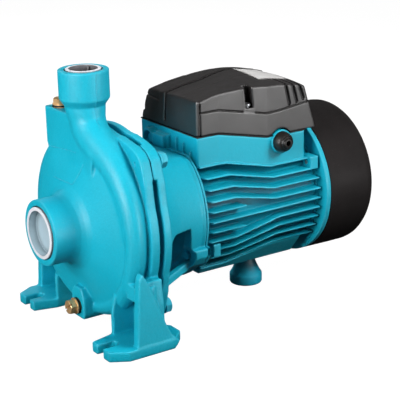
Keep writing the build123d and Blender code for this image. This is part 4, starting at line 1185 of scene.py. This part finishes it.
def paint(name, base, rough, grain, flake=0.06, coat=0.05, dust=0.04):
    """Enamel over a casting: slight drift in tone, fine skin, worn lighter on raised edges; painted shade darkens
    creases and hollows and dims their reflection.
    """
    m = Mat(name)
    tone = m.noise(14.0, 3.0, 0.5)
    c = m.ramp(tone, [(0.30, rgb(base, 0.90)), (0.55, rgb(base, 1.0)), (0.78, rgb([base[0] * 1.25 + 0.01, base[1] * 1.05, base[2] * 1.04]))])
    pt = m.node("ShaderNodeNewGeometry").outputs["Pointiness"]
    edge = m.remap(pt, 0.505, 0.56, 0.0, 1.0)
    broken = m.math("MULTIPLY", edge, m.remap(m.noise(160.0, 4.0, 0.6), 0.35, 0.65, 0.35, 1.0))
    c = m.mix(m.math("MULTIPLY", broken, flake * 4), c, rgb([min(1, base[0] + 0.16), min(1, base[1] * 1.22), min(1, base[2] * 1.18)]))
    # painted shade: concave creases (low pointiness) are darkened in the colour
    crease_shade = m.remap(pt, 0.495, 0.44, 0.0, 1.0)
    c = m.mix(m.math("MULTIPLY", crease_shade, 0.45), c, rgb([base[0] * 0.35, base[1] * 0.42, base[2] * 0.45]))
    # painted shade: ambient occlusion darkens the colour in hollows, gaps and under overhangs
    ao = m.shade(0.018)
    c = m.mix(m.remap(ao, 0.28, 0.80, 0.56, 0.0), c, rgb([base[0] * 0.3, base[1] * 0.30, base[2] * 0.34]))
    c = m.mix(m.remap(m.noise(520.0, 2.0, 0.6), 0.35, 0.65, 0.0, 0.16 * grain), c, rgb([base[0], base[1] * 0.62, base[2] * 0.66]))
    specks = m.remap(m.noise(900.0, 2.0, 0.5), 0.62, 0.72, 0.0, dust)
    c = m.mix(specks, c, rgb([0.75, 0.85, 0.88]))
    m.link(c, m.b.inputs["Base Color"])
    r = m.remap(m.noise(60.0, 4.0, 0.6), 0.3, 0.7, rough - 0.05, rough + 0.07)
    m.link(r, m.b.inputs["Roughness"])
    m.set(Coat_Weight=coat, Coat_Roughness=0.30)
    # painted shade: the reflection is dimmed where ambient occlusion finds hollows
    m.link(m.remap(ao, 0.35, 0.90, 0.03, 0.38), m.b.inputs["Specular IOR Level"])
    m.bump([(m.noise(70.0, 3.0, 0.5), 0.20 * grain, 0.0009), (m.noise(420.0, 4.0, 0.6), 0.55 * grain, 0.00050), (m.voronoi(900.0), 0.15 * grain, 0.00016)])
    return m


def plastic(name, base, rough, grain, scale=1500.0, spec=0.5):
    m = Mat(name)
    tone = m.noise(30.0, 3.0, 0.5)
    c = m.ramp(tone, [(0.3, rgb(base, 0.88)), (0.7, rgb(base, 1.12))])
    # painted shade: ambient occlusion darkens the colour towards a tenth of the base and dims the reflection in
    # grooves, gaps and hollows
    ao = m.shade(0.007)
    c = m.mix(m.remap(ao, 0.45, 0.92, 0.9, 0.0), c, rgb(base, 0.10))
    lint = m.remap(m.noise(700.0, 2.0, 0.5), 0.66, 0.74, 0.0, 0.10)
    c = m.mix(lint, c, rgb([min(1, base[0] + 0.12)] * 3))
    m.link(c, m.b.inputs["Base Color"])
    m.link(m.remap(m.noise(90.0, 4.0, 0.6), 0.3, 0.7, rough - 0.05, rough + 0.07), m.b.inputs["Roughness"])
    m.link(m.remap(ao, 0.45, 0.92, 0.02, spec), m.b.inputs["Specular IOR Level"])
    m.bump([(m.noise(40.0, 2.0, 0.5), 0.10, 0.0006), (m.noise(scale, 3.0, 0.6), 0.35 * grain, 0.00012)])
    return m


def metal(name, base, rough, grain=1.0, stretch=(1, 1, 1), stain=None, met=1.0):
    m = Mat(name)
    tone = m.noise(220.0, 4.0, 0.6, 0.2)
    c = m.ramp(tone, [(0.3, rgb(base, 0.72)), (0.55, rgb(base)), (0.8, rgb([min(1, v * 1.2) for v in base]))])
    if stain:
        c = m.mix(m.remap(m.noise(120.0, 5.0, 0.65), 0.52, 0.66, 0.0, 0.6), c, rgb(stain))
    m.link(c, m.b.inputs["Base Color"])
    m.set(Metallic=met)
    m.link(m.remap(m.noise(300.0, 4.0, 0.6), 0.3, 0.7, rough - 0.08, rough + 0.12), m.b.inputs["Roughness"])
    m.bump([(m.noise(500.0, 4.0, 0.6, 0.0, stretch), 0.25 * grain, 0.0001)])
    return m


TEAL = [0.005, 0.465, 0.625]
TEAL2 = [0.005, 0.455, 0.610]
MATS = {
    "casting": paint("casting_enamel", TEAL, 0.45, 1.0),
    "housing": paint("housing_enamel", TEAL2, 0.43, 0.45, flake=0.08, dust=0.03),
    "foot": paint("foot_enamel", [0.003, 0.42, 0.60], 0.55, 0.3, flake=0.03, dust=0.02),
    "cover": plastic("cover_moulding", [0.017, 0.015, 0.015], 0.40, 1.0, 1800.0, 1.0),
    "cowl": plastic("cowl_moulding", [0.017, 0.015, 0.015], 0.50, 0.7, 1500.0, 0.08),
    "gland": plastic("gland_rubber", [0.012, 0.010, 0.009], 0.42, 0.8, 1200.0),
    "white": plastic("cap_white", [0.78, 0.79, 0.84], 0.40, 0.5, 900.0),
    # painted shade: a dark grey copy of the white cap plastic for the inside of the discharge cap
    "cap_inside_shade": plastic("cap_inside_painted_shade", [0.13, 0.13, 0.14], 0.42, 0.5, 900.0),
    # painted shade: a blue-grey copy of the white cap plastic for the inside of the suction cap
    "cap_wall_shade": plastic("cap_wall_painted_shade", [0.40, 0.53, 0.60], 0.42, 0.5, 900.0),
    "brass": metal("plug_brass", [0.78, 0.50, 0.24], 0.40, 1.0, (1, 1, 1), [0.40, 0.20, 0.07], 0.6),
    "zinc": metal("zinc_plate", [0.50, 0.52, 0.54], 0.36),
    "steel": metal("turned_steel", [0.58, 0.58, 0.59], 0.26, 1.0, (6, 0.4, 0.4)),
    "core": metal("laminations", [0.26, 0.26, 0.28], 0.48, 2.0, (60, 0.3, 0.3), [0.18, 0.10, 0.06]),
    "copper": metal("winding_enamel", [0.52, 0.20, 0.06], 0.32, 2.0, (0.4, 8, 8)),
    "bronze": metal("impeller_casting", [0.50, 0.32, 0.12], 0.46, 2.0, (1, 1, 1), [0.30, 0.18, 0.07]),
    "rubber": plastic("seal_rubber", [0.016, 0.016, 0.016], 0.62, 1.2, 900.0),
    "ceramic": plastic("seal_ceramic", [0.72, 0.69, 0.60], 0.24, 0.2, 700.0),
    "label": plastic("blank_plate", [0.68, 0.67, 0.66], 0.34, 0.3, 600.0),
    "terminal": plastic("terminal_moulding", [0.62, 0.59, 0.50], 0.45, 0.6, 900.0),
    "can": plastic("capacitor_can", [0.70, 0.70, 0.68], 0.38, 0.5, 900.0),
}


def wear(ob, key, second=None):
    idx = [f.material_index for f in ob.data.polygons] if second else None
    ob.data.materials.clear()
    ob.data.materials.append(MATS[key].m)
    if second:
        ob.data.materials.append(MATS[second].m)
        ob.data.polygons.foreach_set("material_index", idx)


CAD_MATS = {"impeller": "bronze", "impeller_nut": "steel", "impeller_key": "steel", "seal_rotary_head": "steel", "seal_spring": "steel", "seal_seat_cup": "rubber",
            "seal_stationary_ring": "ceramic", "motor_shaft": "steel", "rotor_core": "core", "slinger_ring": "rubber", "casing_gasket": "rubber",
            "front_bearing_outer": "steel", "front_bearing_inner": "steel", "front_bearing_balls": "steel", "front_bearing_cage": "steel",
            "rear_bearing_outer": "steel", "rear_bearing_inner": "steel", "rear_bearing_balls": "steel", "rear_bearing_cage": "steel", "wave_washer": "steel",
            "stator_core": "core", "stator_windings": "copper", "cooling_fan": "cowl", "terminal_box_gasket": "rubber", "rating_label": "label",
            "terminal_block": "terminal", "start_capacitor": "can", "capacitor_clip": "zinc", "end_shield_screws": "zinc", "support_foot_screw": "zinc"}
SLOT_MATS = {"casting_paint": "casting", "white_plastic": "white", "brass": "brass", "seal_rubber": "rubber", "zinc_steel": "zinc", "black_plastic": "gland", "foot_paint": "foot", "housing_paint": "housing"}

pieces = dict(build_small())
pieces["casing"] = (build_casing(), ["pump_casing", "suction_boss", "discharge_boss", "casing_foot_near", "casing_foot_far", "casing_leg_near", "casing_leg_far"], "body", "casting_paint")
pieces["bracket"] = (build_bracket(), ["motor_bracket"], "body", "casting_paint")
pieces["motor_case"] = (build_housing(), ["motor_housing"], "body", "housing_paint")
pieces["box_cover"] = (build_cover(), ["terminal_box_cover"], "body", "black_plastic")
pieces["fan_cowl"] = (build_cowl(), ["fan_cover"], "body", "fan_cover_plastic")
pieces["blank_plate"] = (build_label(), ["rating_label"], "body", "label_film")
special = {"blank_plate": "label", "casing": "casting", "bracket": "casting", "motor_case": "housing", "box_cover": "cover", "fan_cowl": "cowl"}
for name, (ob, nodes, body, slot) in pieces.items():
    wear(ob, special.get(name) or SLOT_MATS[slot], {"discharge_dust_cap": "cap_inside_shade", "suction_dust_cap": "cap_wall_shade"}.get(name))
    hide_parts(*nodes)
    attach(ob, body)
for name, key in CAD_MATS.items():
    wear(NODES[name], key)

# ---------------------------------------------------------------- floor, light, camera
me = bpy.data.meshes.new("floor")
S = 6.0
me.from_pydata([(-S, -S, 0), (S, -S, 0), (S, S, 0), (-S, S, 0)], [], [(0, 1, 2, 3)])
floor = bpy.data.objects.new("floor", me)
bpy.context.scene.collection.objects.link(floor)
fm = Mat("studio_floor")
fm.set(Base_Color=(0.10, 0.10, 0.10, 1), Roughness=0.9, Emission_Color=(1.0, 1.0, 1.0, 1), Emission_Strength=0.97)
fm.b.inputs["Specular IOR Level"].default_value = 0.0
me.materials.append(fm.m)
floor.visible_diffuse = False
floor.visible_glossy = False

wall = bpy.data.meshes.new("backdrop")
n = 72
ring = [(5.8 * math.cos(2 * math.pi * i / n), 5.8 * math.sin(2 * math.pi * i / n)) for i in range(n)]
wall.from_pydata([(x, y, 0.0) for x, y in ring] + [(x, y, 9.0) for x, y in ring], [], [(i, (i + 1) % n, n + (i + 1) % n, n + i) for i in range(n)])
wo = bpy.data.objects.new("backdrop", wall)
bpy.context.scene.collection.objects.link(wo)
wall.materials.append(fm.m)
wo.visible_diffuse = False
wo.visible_glossy = False
wo.visible_shadow = False

world = bpy.data.worlds.new("studio")
bpy.context.scene.world = world
world.use_nodes = True
wt = world.node_tree
bg = wt.nodes["Background"]
tc = wt.nodes.new("ShaderNodeTexCoord")
sep = wt.nodes.new("ShaderNodeSeparateXYZ")
wt.links.new(tc.outputs["Generated"], sep.inputs[0])
rmp = wt.nodes.new("ShaderNodeValToRGB")
rmp.color_ramp.elements[0].position = 0.0
rmp.color_ramp.elements[0].color = (0.12, 0.12, 0.12, 1)
rmp.color_ramp.elements[1].position = 0.6
rmp.color_ramp.elements[1].color = (1.0, 1.0, 1.0, 1)
wt.links.new(sep.outputs["Z"], rmp.inputs[0])
wt.links.new(rmp.outputs[0], bg.inputs[0])
bg.inputs[1].default_value = 0.21


def area(name, loc, target, size, power, size_y=None, spread=180):
    l = bpy.data.lights.new(name, "AREA")
    l.energy = power
    l.spread = math.radians(spread)
    l.size = size
    if size_y:
        l.shape = "RECTANGLE"
        l.size_y = size_y
    o = bpy.data.objects.new(name, l)
    bpy.context.scene.collection.objects.link(o)
    o.location = loc
    o.rotation_euler = (Vector(target) - Vector(loc)).to_track_quat("-Z", "Y").to_euler()
    return o


area("side", (-1.10, -0.32, 0.50), (-0.08, 0, 0.25), 0.6, 2.5, spread=66)
area("right", (0.62, -0.92, 0.98), (0.02, 0, 0.20), 0.6, 4.3, spread=84).visible_glossy = False
area("sheen", (0.68, -1.50, 0.20), (0.05, 0, 0.15), 1.0, 15.5, 0.5).visible_diffuse = False
area("back", (0.30, 1.60, 0.70), (0, 0, 0.12), 0.9, 7.0, spread=110).visible_glossy = False
area("rim", (-1.45, -0.12, 0.24), (-0.05, 0, 0.16), 0.6, 2.8).visible_diffuse = False

cam = bpy.data.cameras.new("cam")
cam.lens = 116.345
cam.sensor_width = 36.0
cam.dof.use_dof = False
co = bpy.data.objects.new("cam", cam)
bpy.context.scene.collection.objects.link(co)
R = Matrix(((0.8304, 0.18928, -0.52402), (-0.55671, 0.24392, -0.79409), (-0.02249, 0.95114, 0.30793)))
co.matrix_world = Matrix.Translation((-0.63673, -0.97485, 0.47254)) @ R.to_4x4()
bpy.context.scene.camera = co
bpy.context.scene.view_settings.view_transform = "Standard"

bpy.context.view_layer.update()
